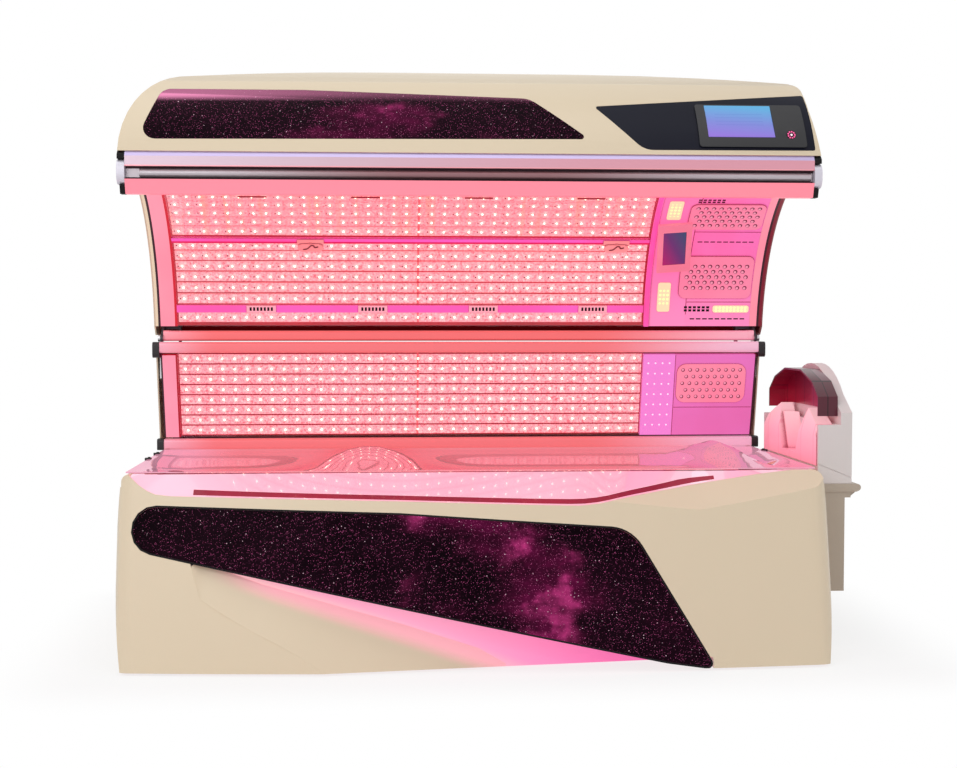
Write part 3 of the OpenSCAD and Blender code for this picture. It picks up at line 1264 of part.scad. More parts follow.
module head_shelf() {
  color([0.68, 0.63, 0.57]) in_frame() {
    difference() {
      union() {
        head_at() along_x(base_half - 2, shelf_end - 12)
          square_at(-head_half - 4, -27, head_half - 10, -0.3);
        head_at() translate([shelf_end - 12, head_half - 10, -13]) rotate([90, 0, 0])
          cylinder(r = 12, h = 2 * head_half - 6, $fn = 48);
        // Upright box bracket under the shelf
        head_at() along_x(base_half - 30, head_x + 96) square_at(-head_half, -363, 200, -47);
        head_at() along_x(base_half - 30, head_x + 116) square_at(-head_half, -47, 200, -27);
        // Gusset that tapers out under the shelf
        head_at() along_y(-head_half + 6, -head_half + 60)
          polygon([[head_x + 100, -27], [shelf_end - 14, -27], [head_x + 116, -44]]);
        head_at() along_x(head_x + 8.3, head_x + head_d - 6.3)
          square_at(-head_half + 8.3, -2, head_half - 20, 30);
      }
      base_body(-0.3);
      head_at() along_x(base_half - 40, head_x + 91) square_at(-head_half + 5, -358, 195, -52);
    }
  }
}

base_frame();
levelling_feet();
floor_pan();
front_cover();
front_trim_panel();
front_trim_seal();
recess_light_panel();
left_end_cover();
right_end_cover();
rear_cover();
bench_reflector();
bench_lamps();
bench_acrylic();
front_deck();
deck_air_strip();
deck_grommets();
acrylic_clamps();
side_reflector();
side_rails();
side_rail_caps();
side_lamps();
side_acrylic();
side_cheek();
side_speaker_panel();
side_rear_cover();
hinge_brackets();
hinge_pins();
power_supplies();
base_fan_housing();
base_fan_rotor();
mains_inlet();
head_shelf();
head_housing();
head_cradle();
head_hood();
drive_tubes();
drive_spindles();
canopy_shell();
canopy_trim_panel();
control_fascia();
display_bezel();
display_screen();
start_button();
front_rail();
front_rail_caps();
front_rail_seals();
canopy_rear_rail();
canopy_frame();
canopy_reflector();
canopy_lamps();
canopy_dividers();
acrylic_latches();
canopy_acrylic();
vent_bar();
canopy_cheeks();
face_panel();
face_pads();
light_strips();
head_tablet();
canopy_fan_rotor();
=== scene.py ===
import math

import bmesh
import bpy
from mathutils import Matrix, Vector


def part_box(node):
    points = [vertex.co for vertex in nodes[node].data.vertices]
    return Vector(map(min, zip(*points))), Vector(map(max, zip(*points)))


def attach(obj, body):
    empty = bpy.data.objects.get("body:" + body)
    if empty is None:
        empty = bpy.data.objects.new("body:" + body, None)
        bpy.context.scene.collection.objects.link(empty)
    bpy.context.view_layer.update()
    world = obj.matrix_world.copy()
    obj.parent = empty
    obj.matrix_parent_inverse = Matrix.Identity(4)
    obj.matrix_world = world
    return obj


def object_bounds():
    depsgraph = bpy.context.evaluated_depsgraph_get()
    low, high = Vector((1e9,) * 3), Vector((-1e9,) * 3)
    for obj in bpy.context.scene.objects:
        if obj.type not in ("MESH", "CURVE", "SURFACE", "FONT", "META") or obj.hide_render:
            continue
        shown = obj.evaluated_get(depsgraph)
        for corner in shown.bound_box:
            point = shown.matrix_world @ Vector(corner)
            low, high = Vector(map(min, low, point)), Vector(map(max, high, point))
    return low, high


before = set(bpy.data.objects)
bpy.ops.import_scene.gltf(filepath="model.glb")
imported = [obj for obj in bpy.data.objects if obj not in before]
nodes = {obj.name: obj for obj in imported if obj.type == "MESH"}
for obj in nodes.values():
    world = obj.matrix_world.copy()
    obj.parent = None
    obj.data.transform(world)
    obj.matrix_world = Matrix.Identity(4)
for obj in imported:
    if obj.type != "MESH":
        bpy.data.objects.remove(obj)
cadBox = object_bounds()
scene = bpy.context.scene
print("frame loaded:", len(nodes), "parts")

# The bed's own axes start in the middle of its length, benchEdge behind the bench sheet's front edge.
# Lengths are metres in those axes, and angles round the arch are degrees up from the back.
benchEdge = 0.5
bedOrigin = Vector((sum(c.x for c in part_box("front_rail")) / 2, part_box("bench_acrylic")[0].y + benchEdge, 0))

arch = {"y": -0.362, "z": 0.983, "radius": 0.640}
sideWall = {"y": 0.25, "z": 0.977, "lean": math.radians(15)}
lampField = {"left": -1.054, "right": 0.684, "ledPitch": 0.0455}


def bed(x, y, z):
    return Vector((x, y, z)) + bedOrigin


def acrossBed(y, z):
    return Vector((0, y + bedOrigin.y, z))


def onArch(angle, radius, x=0.0):
    turn = math.radians(angle)
    place = bed(x, arch["y"] + radius * math.cos(turn), arch["z"] + radius * math.sin(turn))
    return Matrix.Translation(place) @ Matrix.Rotation(turn - math.pi / 2, 4, "X")


def srgb(red, green, blue):
    shares = (v / 255 for v in (red, green, blue))
    return tuple(v / 12.92 if v <= 0.04045 else ((v + 0.055) / 1.055) ** 2.4 for v in shares) + (1,)


def darker(colour, share):
    return tuple(c * share for c in colour[:3]) + (1,)


class Wire:
    def __init__(self, graph, socket):
        self.graph = graph
        self.socket = socket

    def out(self, name):
        return Wire(self.graph, self.socket.node.outputs[name])

    def math(self, operation, *others):
        return self.graph.node("Math", {"operation": operation}, dict(enumerate((self,) + others)))

    def __add__(self, other):
        return self.math("ADD", other)

    __radd__ = __add__

    def __sub__(self, other):
        return self.math("SUBTRACT", other)

    def __rsub__(self, other):
        return self.graph.node("Math", {"operation": "SUBTRACT"}, {0: other, 1: self})

    def __mul__(self, other):
        return self.math("MULTIPLY", other)

    __rmul__ = __mul__

    def __truediv__(self, other):
        return self.math("DIVIDE", other)

    def __pow__(self, other):
        return self.math("POWER", other)

    def __lt__(self, other):
        return self.math("LESS_THAN", other)

    def __gt__(self, other):
        return self.math("GREATER_THAN", other)

    def abs(self):
        return self.math("ABSOLUTE")

    def fraction(self):
        return self.math("FRACT")

    def floor(self):
        return self.math("FLOOR")

    def clamped(self, low=0, high=1):
        return self.math("MINIMUM", high).math("MAXIMUM", low)

    def between(self, low, high):
        return (self > low) * (self < high)

    def fade(self, low, high):
        return self.graph.node("MapRange", {"interpolation_type": "SMOOTHSTEP"},
                               {"Value": self, "From Min": low, "From Max": high})


class Graph:
    def __init__(self, tree, material=None):
        self.tree = tree
        self.material = material
        tree.nodes.clear()

    def node(self, kind, settings=None, sockets=None, out=0):
        made = self.tree.nodes.new(kind if "Node" in kind else "ShaderNode" + kind)
        for key, value in (settings or {}).items():
            if key == "stops":
                ramp = made.color_ramp
                while len(ramp.elements) < len(value):
                    ramp.elements.new(1)
                for element, (position, colour) in zip(ramp.elements, value):
                    element.position = position
                    element.color = colour
            else:
                setattr(made, key, value)
        for key, value in (sockets or {}).items():
            if isinstance(value, Wire):
                self.tree.links.new(value.socket, made.inputs[key])
            else:
                made.inputs[key].default_value = value
        return Wire(self, made.outputs[out]) if len(made.outputs) else made

    def spot(self):
        return self.node("TexCoord", out="Object")

    def place(self):
        parts = self.node("SeparateXYZ", None, {0: self.spot()})
        return parts.out("X"), parts.out("Y"), parts.out("Z")

    def bedPlace(self):
        x, y, z = self.place()
        return x - bedOrigin.x, y - bedOrigin.y, z

    def noise(self, scale, detail=3, rough=0.5, stretch=(1, 1, 1)):
        moved = self.node("Mapping", None, {"Vector": self.spot(), "Scale": stretch})
        return self.node("TexNoise", None,
                         {"Vector": moved, "Scale": scale, "Detail": detail, "Roughness": rough})

    def mix(self, factor, first, second):
        return self.node("Mix", {"data_type": "RGBA"}, {0: factor, 6: first, 7: second}, out=2)

    def mixShaders(self, factor, first, second):
        return self.node("MixShader", None, {0: factor, 1: first, 2: second})

    def emission(self, colour):
        return self.node("Emission", None, {"Color": colour, "Strength": 1.0})

    def layerWeight(self, blend, out):
        return self.node("LayerWeight", None, {"Blend": blend}, out=out)

    def vector(self, operation, first, second, out=0):
        return self.node("VectorMath", {"operation": operation}, {0: first, 1: second}, out=out)

    def cavity(self, reach):
        # painted shade mask: near 1 in corners, creases and hollows, where ambient occlusion finds other
        # surfaces close by
        seen = self.node("AmbientOcclusion", {"samples": 6}, {"Distance": reach}, out="AO")
        return 1 - seen.fade(0.5, 0.95)

    def insideLook(self):
        # 1 on faces that look into the lying space, 0 on faces that look away from it
        inwards = self.vector("SUBTRACT", tuple(bed(0, arch["y"], arch["z"])), self.spot())
        flat = self.vector("MULTIPLY", inwards, (0, 1, 1))
        normal = self.node("NewGeometry", out="Normal")
        return self.vector("DOT_PRODUCT", flat, normal, out="Value") > 0

    def seenDirectly(self):
        rays = self.node("LightPath", out="Is Camera Ray")
        mirrored = rays.math("MAXIMUM", rays.out("Is Glossy Ray"))
        return mirrored.math("MAXIMUM", rays.out("Is Transmission Ray"))

    def bump(self, height, distance):
        return self.node("Bump", None, {"Height": height, "Distance": distance, "Strength": 1.0})

    def show(self, shader):
        self.node("OutputMaterial", None, {"Surface": shader})
        return self.material

    def finish(self, sockets):
        return self.show(self.node("BsdfPrincipled", None, sockets))

    def finishLit(self, tone, strength, rough, shine, unlit=(0, 0, 0, 1), share=0, **others):
        # The unlit colour shows in its share of the base colour
        return self.finish(dict({
            "Base Color": self.mix(share, tone, unlit),
            "Emission Color": tone,
            "Emission Strength": strength,
            "Roughness": rough,
            "Specular IOR Level": shine,
        }, **others))


def material(name):
    made = bpy.data.materials.new(name)
    made.use_nodes = True
    return Graph(made.node_tree, made)


plasticSkin = {"cloudScale": 2.2, "drift": 0.12, "shade": 0.78, "grainScale": 900, "grain": 0.00012,
               "roughSpread": 0.12, "coatRough": 0.12}


def mouldedPlastic(name, colour, rough=0.42, coat=0.0, paint=None, glow=None):
    g = material(name)
    d = plasticSkin
    cloud = g.noise(d["cloudScale"], 2)
    fine = g.noise(d["grainScale"], 2)
    tone = g.mix((cloud - 0.5) * d["drift"] + d["drift"] / 2, colour, darker(colour, d["shade"]))
    if paint:
        tone = paint(g, tone, *g.bedPlace())
    sockets = {
        "Base Color": tone,
        "Roughness": (fine - 0.5) * d["roughSpread"] + rough,
        "Coat Weight": coat,
        "Coat Roughness": d["coatRough"],
        "Normal": g.bump(fine, d["grain"]),
    }
    return g.finish(dict(sockets, **(glow(g) if glow else {})))


def drawnLines(g, drawn=(0.6, 90, 90)):
    return g.noise(14, 4, 0.6, drawn)


def brushedMetal(name, colour, rough, metallic, drawn=(1, 1, 1)):
    g = material(name)
    lines = drawnLines(g, drawn)
    broad = g.noise(1.5, 2)
    return g.finish({
        "Base Color": g.mix(lines * 0.22, colour, darker(colour, 0.82)),
        "Metallic": metallic,
        "Roughness": (lines - 0.5) * 0.16 + (broad - 0.5) * 0.08 + rough,
        "Normal": g.bump(lines, 0.00006),
    })


# The front rail's bands are painted light: pink and lilac reflections on its faces, a pink glow below the
# groove, shade in the groove and highlights on the bar's ends
railBands = {
    "chamfer": 1.620, "grooveTop": 1.588, "grooveFoot": 1.546, "faceY": -0.460, "lip": 0.0008,
    "barHalf": 0.0137, "barFrom": 0.006, "barTo": 0.0225,
    "lilacReflection": srgb(196, 182, 222), "faceReflectionLeft": srgb(214, 190, 204), "faceReflectionRight": srgb(232, 164, 180),
    "rim": srgb(255, 176, 186), "groove": srgb(58, 34, 42), "barEndHighlight": srgb(196, 188, 194),
    "barMiddleReflection": srgb(150, 110, 114), "low": srgb(255, 148, 164), "lowPaintedGlow": srgb(255, 120, 140),
    "brushed": srgb(150, 130, 140),
}


def bandedRail(name):
    g = material(name)
    d = railBands
    x, y, z = g.bedPlace()
    inward = y - d["faceY"]
    lines = drawnLines(g)
    grooveFrom, grooveTo = d["grooveFoot"] + 0.0005, d["grooveTop"] - 0.001
    # painted reflections: lilac on the chamfer, pink growing towards the right on the face, pink on the groove's
    # upper rim
    tone = g.mix(z > d["chamfer"], g.mix(x.fade(-0.9, 0.7), d["faceReflectionLeft"], d["faceReflectionRight"]), d["lilacReflection"])
    tone = g.mix(z.between(grooveTo, d["grooveTop"] + 0.003), tone, d["rim"])
    # painted light: the band below the groove is pink and glows
    low = z < grooveFrom
    tone = g.mix(low, tone, d["low"])
    inGroove = z.between(grooveFrom, grooveTo) * (inward > d["lip"])
    bar = (z - (d["grooveTop"] + d["grooveFoot"]) / 2).abs() < d["barHalf"]
    bar = bar * inward.between(d["barFrom"], d["barTo"])
    # painted shade darkens the groove; the bar has painted highlights at its ends and a painted reflection in
    # its middle
    barReflection = g.mix(x.abs().fade(0.2, 0.95), d["barMiddleReflection"], d["barEndHighlight"])
    tone = g.mix(inGroove, tone, g.mix(bar, d["groove"], barReflection))
    dark = inGroove * (1 - bar)
    return g.finish({
        "Base Color": g.mix(lines * 0.12, tone, d["brushed"]),
        "Metallic": (1 - dark) * 0.5 * (1 - low * 0.6),
        "Roughness": (lines - 0.5) * 0.12 + 0.36 + dark * 0.3,
        "Emission Color": g.mix(low, srgb(0, 0, 0), d["lowPaintedGlow"]),
        "Emission Strength": 0.3,
        "Specular IOR Level": 0.2,
        "Normal": g.bump(lines, 0.00005),
    })


# The side and rear rails glow with painted light: the lamps' pink is painted into their base colour and
# emission, redder in the middle and paler towards the ends
litRail = {"red": srgb(176, 84, 92), "pale": srgb(206, 176, 186), "brushed": srgb(150, 100, 112),
           "groove": srgb(120, 14, 34), "reach": 0.012, "strength": 0.54}


def glowingRail(name, middle, ends):
    g = material(name)
    d = litRail
    x, y, z = g.bedPlace()
    lines = drawnLines(g)
    away = (x.fade(0.45, 1.1) + (0 - x).fade(0.9, 1.15) * 0.6).clamped()
    # painted shade: hollows darken to the groove colour
    tone = g.mix(g.cavity(d["reach"]) * 0.8, g.mix(away, middle, ends), d["groove"])
    return g.finish({
        "Base Color": g.mix(lines * 0.2, g.mix(away, d["red"], d["pale"]), d["brushed"]),
        "Metallic": 0.35,
        "Roughness": (lines - 0.5) * 0.14 + 0.38,
        "Emission Color": tone,
        "Emission Strength": d["strength"],
        "Specular IOR Level": 0.3,
        "Normal": g.bump(lines, 0.00005),
    })


def paintedSteel(name, colour, rough=0.5, metallic=0.2):
    g = material(name)
    peel = g.noise(420, 2)
    cloud = g.noise(5, 3)
    return g.finish({
        "Base Color": g.mix(cloud * 0.3, colour, darker(colour, 0.7)),
        "Metallic": metallic,
        "Roughness": (peel - 0.5) * 0.2 + rough,
        "Normal": g.bump(peel, 0.0001),
    })


# Specks are (scale, size in its cell, share of cells lit, evenness of brightness)
starDust = {
    "ground": srgb(22, 5, 15), "glow": srgb(124, 20, 78), "core": srgb(236, 74, 156), "deep": srgb(5, 1, 4),
    "speck": srgb(255, 214, 232), "pinkSpeck": srgb(226, 104, 166), "sheen": srgb(212, 128, 166),
    "fine": (300, 0.36, 0.5, 1.5), "coarse": (84, 0.15, 0.42, 1.0), "rare": (17, 0.042, 0.4, 0.4),
    "cloudScale": 2.1, "strength": 0.3, "bend": (0.385, 0.45), "lacquer": 0.5,
}


def speckledTrim(name, middle, spread, bendFoot):
    g = material(name)
    d = starDust
    spot = g.spot()
    x, y, z = g.bedPlace()
    band = 1 - ((x - middle) / spread).abs().fade(0.1, 1.0)  # the drift is thickest round the middle
    cloud = g.noise(d["cloudScale"], 5, 0.62, (1, 1, 1.8))
    haze = (cloud + band * band * 0.18 - 0.13).fade(0.5, 0.86)
    ground = g.mix(haze * 0.8, g.mix(cloud.fade(0.3, 0.6), d["deep"], d["ground"]), d["glow"])
    ground = g.mix(g.noise(9, 4, 0.6).fade(0.5, 0.72) * haze, ground, d["core"])

    def specks(scale, size, share, power):
        cell = g.node("TexVoronoi", None, {"Vector": spot, "Scale": scale}, out="Distance")
        chance = g.node("SeparateColor", None, {0: cell.out("Color")})
        dot = 1 - cell.fade(size * 0.4, size)
        return dot * ((chance.out("Red") < share) * (chance.out("Green") ** power))

    fine = specks(*d["fine"]) * (cloud + band * 0.25).fade(0.2, 0.6)
    dust = g.mix(fine.clamped(), ground, d["pinkSpeck"])
    dust = g.mix((specks(*d["coarse"]) + specks(*d["rare"])).clamped(), dust, d["speck"])
    printed = g.node("BsdfPrincipled", None, {
        "Base Color": dust,
        "Emission Color": dust,
        "Emission Strength": d["strength"],
        "Roughness": 0.25,
        "Specular IOR Level": 0.02,
    })
    # painted reflection: the glossy layer is tinted pink; on the bent upper edge its strength is laid on by
    # place, elsewhere it follows a real Fresnel
    rosy = g.node("BsdfGlossy", None, {"Color": d["sheen"], "Roughness": 0.06})
    fadeOut = 0.75 - x.fade(-1.05, -0.1) * 0.5  # painted reflection: the bent upper edge's rosy gloss is set strongest at the foot end
    bend = g.layerWeight(0.5, "Facing").fade(*d["bend"]) * fadeOut * (z > bendFoot)
    lacquer = (g.layerWeight(0.35, "Fresnel") - 0.06).clamped() * d["lacquer"]
    return g.show(g.mixShaders((bend + lacquer).clamped(), printed, rosy))


acrylic = {"tint": srgb(255, 240, 243), "benchTint": srgb(255, 236, 240), "shine": srgb(255, 214, 226),
           "warm": srgb(255, 184, 194), "cool": srgb(252, 194, 224), "rough": 0.015}


def clearSheet(name, tint, gloss, glow=0.0):
    g = material(name)
    d = acrylic
    swirl = g.noise(6, 3)
    clear = g.node("BsdfTransparent", None, {"Color": tint})
    shine = g.node("BsdfGlossy", None, {"Color": d["shine"], "Roughness": d["rough"]})
    if glow:  # painted light: the sheet glows milky pink as if lit by the rows below, most at its ends
        x, y, z = g.bedPlace()
        ends = (x.fade(0.5, 1.0) + (0 - x).fade(0.8, 1.05)).clamped()
        paintedGlow = g.mixShaders(ends * 0.8, g.emission(d["warm"]), g.emission(d["cool"]))
        clear = g.mixShaders(ends * 0.24 + glow, clear, paintedGlow)
    film = g.layerWeight(0.35, "Fresnel") * gloss + swirl * 0.03 + gloss * 0.06
    return g.show(g.mixShaders(film.clamped(), clear, shine))


# Where a lamp row starts round the arch or down a wall, and how far apart the rows are
archRows = {"pitch": math.degrees(0.042 / arch["radius"]), "starts": (9.1, 15.28, 39.72),
            "counts": (1, 6, 14), "middleFrom": 14, "topFrom": 38.5}
sideRows = {"first": 0.009, "pitch": 0.04, "count": 8}
benchRows = {"first": -0.4007, "pitch": 0.04933, "count": 12}


def archRow(y, z):
    d = archRows
    angle = (z - arch["z"]).math("ARCTAN2", y - arch["y"]) * (180 / math.pi)
    low, mid, top = (((angle - start) / d["pitch"]).fraction() - 0.5 for start in d["starts"])
    isMid = angle.between(d["middleFrom"], d["topFrom"])
    isTop = angle > d["topFrom"]
    return low * (1 - isMid) * (1 - isTop) + mid * isMid + top * isTop


def sideRow(y, z):
    d = sideWall
    down = (y - d["y"]) * math.sin(d["lean"]) - (z - d["z"]) * math.cos(d["lean"])
    return ((down - sideRows["first"]) / sideRows["pitch"]).fraction() - 0.5


def benchRow(y, z):
    return ((y - benchRows["first"]) / benchRows["pitch"]).fraction() - 0.5


lampGlow = {
    "strip": srgb(255, 190, 196), "halo": srgb(255, 234, 222), "deep": srgb(255, 160, 170),
    "edge": srgb(150, 14, 36), "sparkle": srgb(255, 244, 236), "grit": srgb(208, 52, 76),
    "streak": srgb(255, 190, 150), "seam": srgb(224, 84, 92), "unlit": srgb(60, 10, 16),
    "seamX": -0.168, "seamHalf": 0.0038, "grainScale": 120, "strength": 0.88,
}


def lampBoard(name, across, streaks=0.0, edge=0.42):
    g = material(name)
    d = lampGlow
    x, y, z = g.bedPlace()
    u = ((x - lampField["left"]) / lampField["ledPitch"]).fraction() - 0.5
    v = across(y, z)
    halo = 1 - ((u * u + v * v * 0.9) ** 0.5).fade(0.03, 0.42)
    cloud = g.noise(3, 2)
    grain = g.noise(d["grainScale"], 2, 0.7)
    tone = g.mix(halo * 0.9, d["strip"], d["halo"])
    tone = g.mix((cloud - 0.45).clamped() * 0.8, tone, d["deep"])
    tone = g.mix(grain.fade(0.54, 0.62) * 0.7, tone, d["sparkle"])
    tone = g.mix((1 - grain.fade(0.37, 0.45)) * 0.6, tone, d["grit"])
    if streaks:
        upright = g.noise(26, 3, 0.7, (1, 0.04, 0.04)).fade(0.48, 0.7) * z.fade(1.3, 1.5)
        tone = g.mix(upright * streaks, tone, d["streak"])
    tone = g.mix(v.abs().fade(edge - 0.12, edge) * 0.35, tone, d["deep"])
    tone = g.mix(v.abs() > edge, tone, d["edge"])
    seam = (x - d["seamX"]).abs() < d["seamHalf"]  # where the two runs of lamps meet
    tone = g.mix(seam * 0.8, tone, d["seam"])
    return g.finishLit(tone, d["strength"], 0.45, 0.2, d["unlit"], 0.6)


litSkin = {"hollow": srgb(150, 16, 50), "unlit": srgb(40, 20, 26), "cloudScale": 2.5, "grainScale": 700}


# The moulding's emission is painted light from the lamps, except on the light strips and the recess panel, which
# are lamps; reach paints shade into its hollows
def litMoulding(name, colour, shade, strength=0.62, rough=0.38, coat=0.2, reach=0.006, paint=None,
                coatIor=1.5, grain=0.00008):
    g = material(name)
    d = litSkin
    cloud = g.noise(d["cloudScale"], 3)
    fine = g.noise(d["grainScale"], 2)
    tone = g.mix(cloud.fade(0.3, 0.7), shade, colour)
    if paint:
        tone = paint(g, tone, *g.bedPlace())
    if reach:
        # painted shade in corners and hollows
        tone = g.mix(g.cavity(reach) * 0.85, tone, d["hollow"])
    return g.finishLit(tone, strength, (fine - 0.5) * 0.1 + rough, 0.25, d["unlit"], 0.45, **{
        "Coat Weight": coat(g) if callable(coat) else coat,
        "Coat IOR": coatIor,
        "Normal": g.bump(fine, grain),
    })


darkLine = srgb(46, 12, 26)


# Painted shade: faces that look away from the lying space are dark; the red glow of the inner faces is painted
# light from the lamps
def reflectorPaint(g, tone, x, y, z):
    return g.mix(g.insideLook(), srgb(26, 22, 24), tone)


hood = {
    "midY": -0.060, "midZ": 0.700, "ringX": 1.1205 - bedOrigin.x, "seams": (-0.236, -0.1, 0.1, 0.236),
    "grooveHalf": 0.004, "ringHalf": 0.0018, "ribsPerMetre": 9, "ribShare": 0.04,
    "outer": srgb(78, 26, 40), "pale": srgb(146, 112, 122), "groove": srgb(30, 2, 10),
    "low": srgb(140, 6, 36), "high": srgb(88, 0, 20), "rib": srgb(52, 0, 12),
}


def hoodPaint(g, tone, x, y, z):
    d = hood
    across = y - d["midY"]
    upwards = z - d["midZ"]
    normal = g.node("SeparateXYZ", None, {0: g.node("NewGeometry", out="Normal")})
    under = across * normal.out("Y") + upwards * normal.out("Z") < -0.01
    back = (normal.out("X") < -0.5) * (x > d["ringX"] - 0.02)
    groove = (x - d["ringX"]).abs() < d["ringHalf"]
    for seam in d["seams"]:
        groove = groove + ((across - seam).abs() < d["grooveHalf"])
    patch = across.abs().between(d["seams"][2], d["seams"][3]) * (x > d["ringX"])
    outer = g.mix(groove.clamped(), g.mix(patch * 0.4, d["outer"], d["pale"]), d["groove"])
    rib = ((across * d["ribsPerMetre"]).fraction() - 0.5).abs() < d["ribShare"]
    inner = g.mix(rib * 0.5, g.mix(upwards.fade(0.08, 0.2), d["low"], d["high"]), d["rib"])
    return g.mix((under + back).clamped(), outer, inner)


# Painted light: the cradle's white plastic is shown pink as lit by the lamps, paler towards the top
cradle = {"foot": 0.60, "top": 0.80, "ribsPerMetre": 7, "ribShare": 0.025,
          "low": srgb(250, 150, 172), "high": srgb(255, 206, 212), "rib": srgb(226, 112, 140)}


def cradlePaint(g, tone, x, y, z):
    d = cradle
    rib = ((y * d["ribsPerMetre"]).fraction() - 0.5).abs() < d["ribShare"]
    return g.mix(rib * 0.35, g.mix(z.fade(d["foot"], d["top"]), d["low"], d["high"]), d["rib"])


# Painted light: the lit recess's pink glow is painted over the cover along a slanting line, into its base colour
# and its emission
glowSpill = {"fromX": -0.870, "toX": 0.0835, "fromZ": 0.3285, "toZ": 0.0089, "depth": 0.05,
             "colour": srgb(255, 130, 180), "paintedSpillShare": 0.3, "strength": 0.42,
             "foot": srgb(255, 172, 200), "head": srgb(255, 120, 186), "warm": srgb(246, 196, 188)}


def spillLine(x):
    d = glowSpill
    slope = (d["toZ"] - d["fromZ"]) / (d["toX"] - d["fromX"])
    return (x - d["fromX"]) * slope + d["fromZ"]


def spillShare(x, z):
    d = glowSpill
    along = (x - d["fromX"]) / (d["toX"] - d["fromX"])
    under = spillLine(x) - z
    return (1 - under.fade(-0.004, d["depth"])) * (under > -0.03) * along.fade(0.0, 0.25) * (along < 1.4)


def frontCoverPaint(g, tone, x, y, z):
    # painted light: part of the recess's pink glow is mixed into the cover's base colour
    return g.mix(spillShare(x, z) * glowSpill["paintedSpillShare"], tone, glowSpill["colour"])


def frontCoverGlow(g):
    x, y, z = g.bedPlace()
    return {"Emission Color": g.mix(spillShare(x, z), srgb(0, 0, 0), glowSpill["colour"]),
            "Emission Strength": glowSpill["strength"]}


def recessPaint(g, tone, x, y, z):
    d = glowSpill
    along = x.fade(-0.4, 0.6)
    warm = (1 - (z - spillLine(x)).fade(0.0, 0.04)) * (1 - along) * 0.7
    return g.mix(warm, g.mix(along, d["foot"], d["head"]), d["warm"])


deck = {"paleFrom": -1.0, "paleTo": -0.6, "pale": srgb(252, 214, 232), "lineY": -0.5045,
        "line": srgb(128, 34, 58), "dullFrom": -0.9, "dullTo": -0.7, "dull": 0.8}


def deckPaint(g, tone, x, y, z):
    d = deck
    tone = g.mix((1 - x.fade(d["paleFrom"], d["paleTo"])) * 0.5, tone, d["pale"])
    return g.mix(y > d["lineY"], tone, d["line"])


def deckShine(g):
    x, y, z = g.bedPlace()
    return 1 - (1 - x.fade(deck["dullFrom"], deck["dullTo"])) * deck["dull"]


far = 9  # beyond every piece


def banded(*bands):
    # A band is its colour and its limits on some of the bed's axes
    def paint(g, tone, x, y, z):
        axes = {"x": x, "y": y, "z": z}
        for colour, limits in bands:
            share = 1
            for axis, (low, high) in limits.items():
                share = axes[axis].between(low, high) * share
            tone = g.mix(share, tone, colour)
        return tone
    return paint


cheekPaint = banded(
    (srgb(226, 208, 180), {"x": (-far, -1.1275)}), (srgb(120, 18, 40), {"x": (1.1275, far)}),
    (darkLine, {"x": (-1.1275, -1.119)}), (darkLine, {"x": (1.119, 1.1275)}),
    (srgb(206, 22, 44), {"x": (-1.0665, -1.05), "z": (1.05, far)}))
sideCheekPaint = banded((darkLine, {"x": (-far, -1.1125)}), (srgb(170, 10, 34), {"x": (-1.064, -1.05)}))
sidePlatePaint = banded((srgb(240, 138, 222), {"x": (-far, 0.806)}), (darkLine, {"x": (1.1125, far)}))
dividerPaint = banded((srgb(226, 22, 92), {"x": (-far, 0.683), "z": (1.370, 1.3806)}))

ventPlates = {"first": -0.802, "pitch": 0.41267, "width": 0.108, "angle": 14.07,
              "colour": srgb(255, 172, 190)}


def ventPaint(g, tone, x, y, z):
    d = ventPlates
    along = ((x - d["first"]) / d["pitch"]).fraction()
    return g.mix(along < d["width"] / d["pitch"], tone, d["colour"])


facePlate = {"low": (1.08, 1.3), "pale": srgb(255, 160, 205), "inner": (0.836, 0.848),
             "strip": srgb(255, 150, 205)}


def facePaint(g, tone, x, y, z):
    d = facePlate
    tone = g.mix((1 - z.fade(*d["low"])) * 0.55, tone, d["pale"])
    return g.mix((1 - x.fade(*d["inner"])) * 0.3, tone, d["strip"])


# Painted light: the beige shell's faces that look into the lying space are painted red as lit by the lamps,
# below the sill and on the rim past the head end
shell = {"sillTop": 1.085, "end": 1.125, "rimTop": 1.62, "sillRedLight": srgb(190, 26, 46), "rim": srgb(150, 70, 76)}


def shellPaint(g, tone, x, y, z):
    d = shell
    inside = g.insideLook()
    tone = g.mix(inside * (z < d["sillTop"]) * (x.abs() < d["end"]), tone, d["sillRedLight"])
    return g.mix(inside * (x > d["end"]) * (z < d["rimTop"]), tone, d["rim"])


def rubber(name, colour):
    g = material(name)
    fine = g.noise(1200, 2)
    return g.finish({
        "Base Color": g.mix(fine * 0.3, colour, srgb(26, 22, 25)),
        "Roughness": (fine - 0.5) * 0.2 + 0.62,
        "Specular IOR Level": 0.2,
        "Normal": g.bump(fine, 0.0001),
    })


def glowing(name, colour, strength):
    g = material(name)
    tone = g.mix(g.noise(40, 2) * 0.4, colour, darker(colour, 0.85))
    return g.finishLit(tone, strength, 0.3, 0.2, srgb(20, 10, 10), 0.6)


def fasciaGlass(name):
    g = material(name)
    return g.finish({
        "Base Color": g.mix(g.noise(3, 2), srgb(20, 21, 32), srgb(27, 28, 42)),
        "Roughness": 0.34,
        "Specular IOR Level": 0.1,
    })


display = {"stops": [(0.0, srgb(150, 118, 222)), (0.45, srgb(128, 140, 220)), (1.0, srgb(96, 178, 226))],
           "rows": 9, "rowHalf": 0.08, "rowsUp": (0.3, 0.8), "rowsAcross": (0.14, 0.86),
           "row": srgb(80, 96, 190), "off": srgb(10, 10, 20), "strength": 0.62}


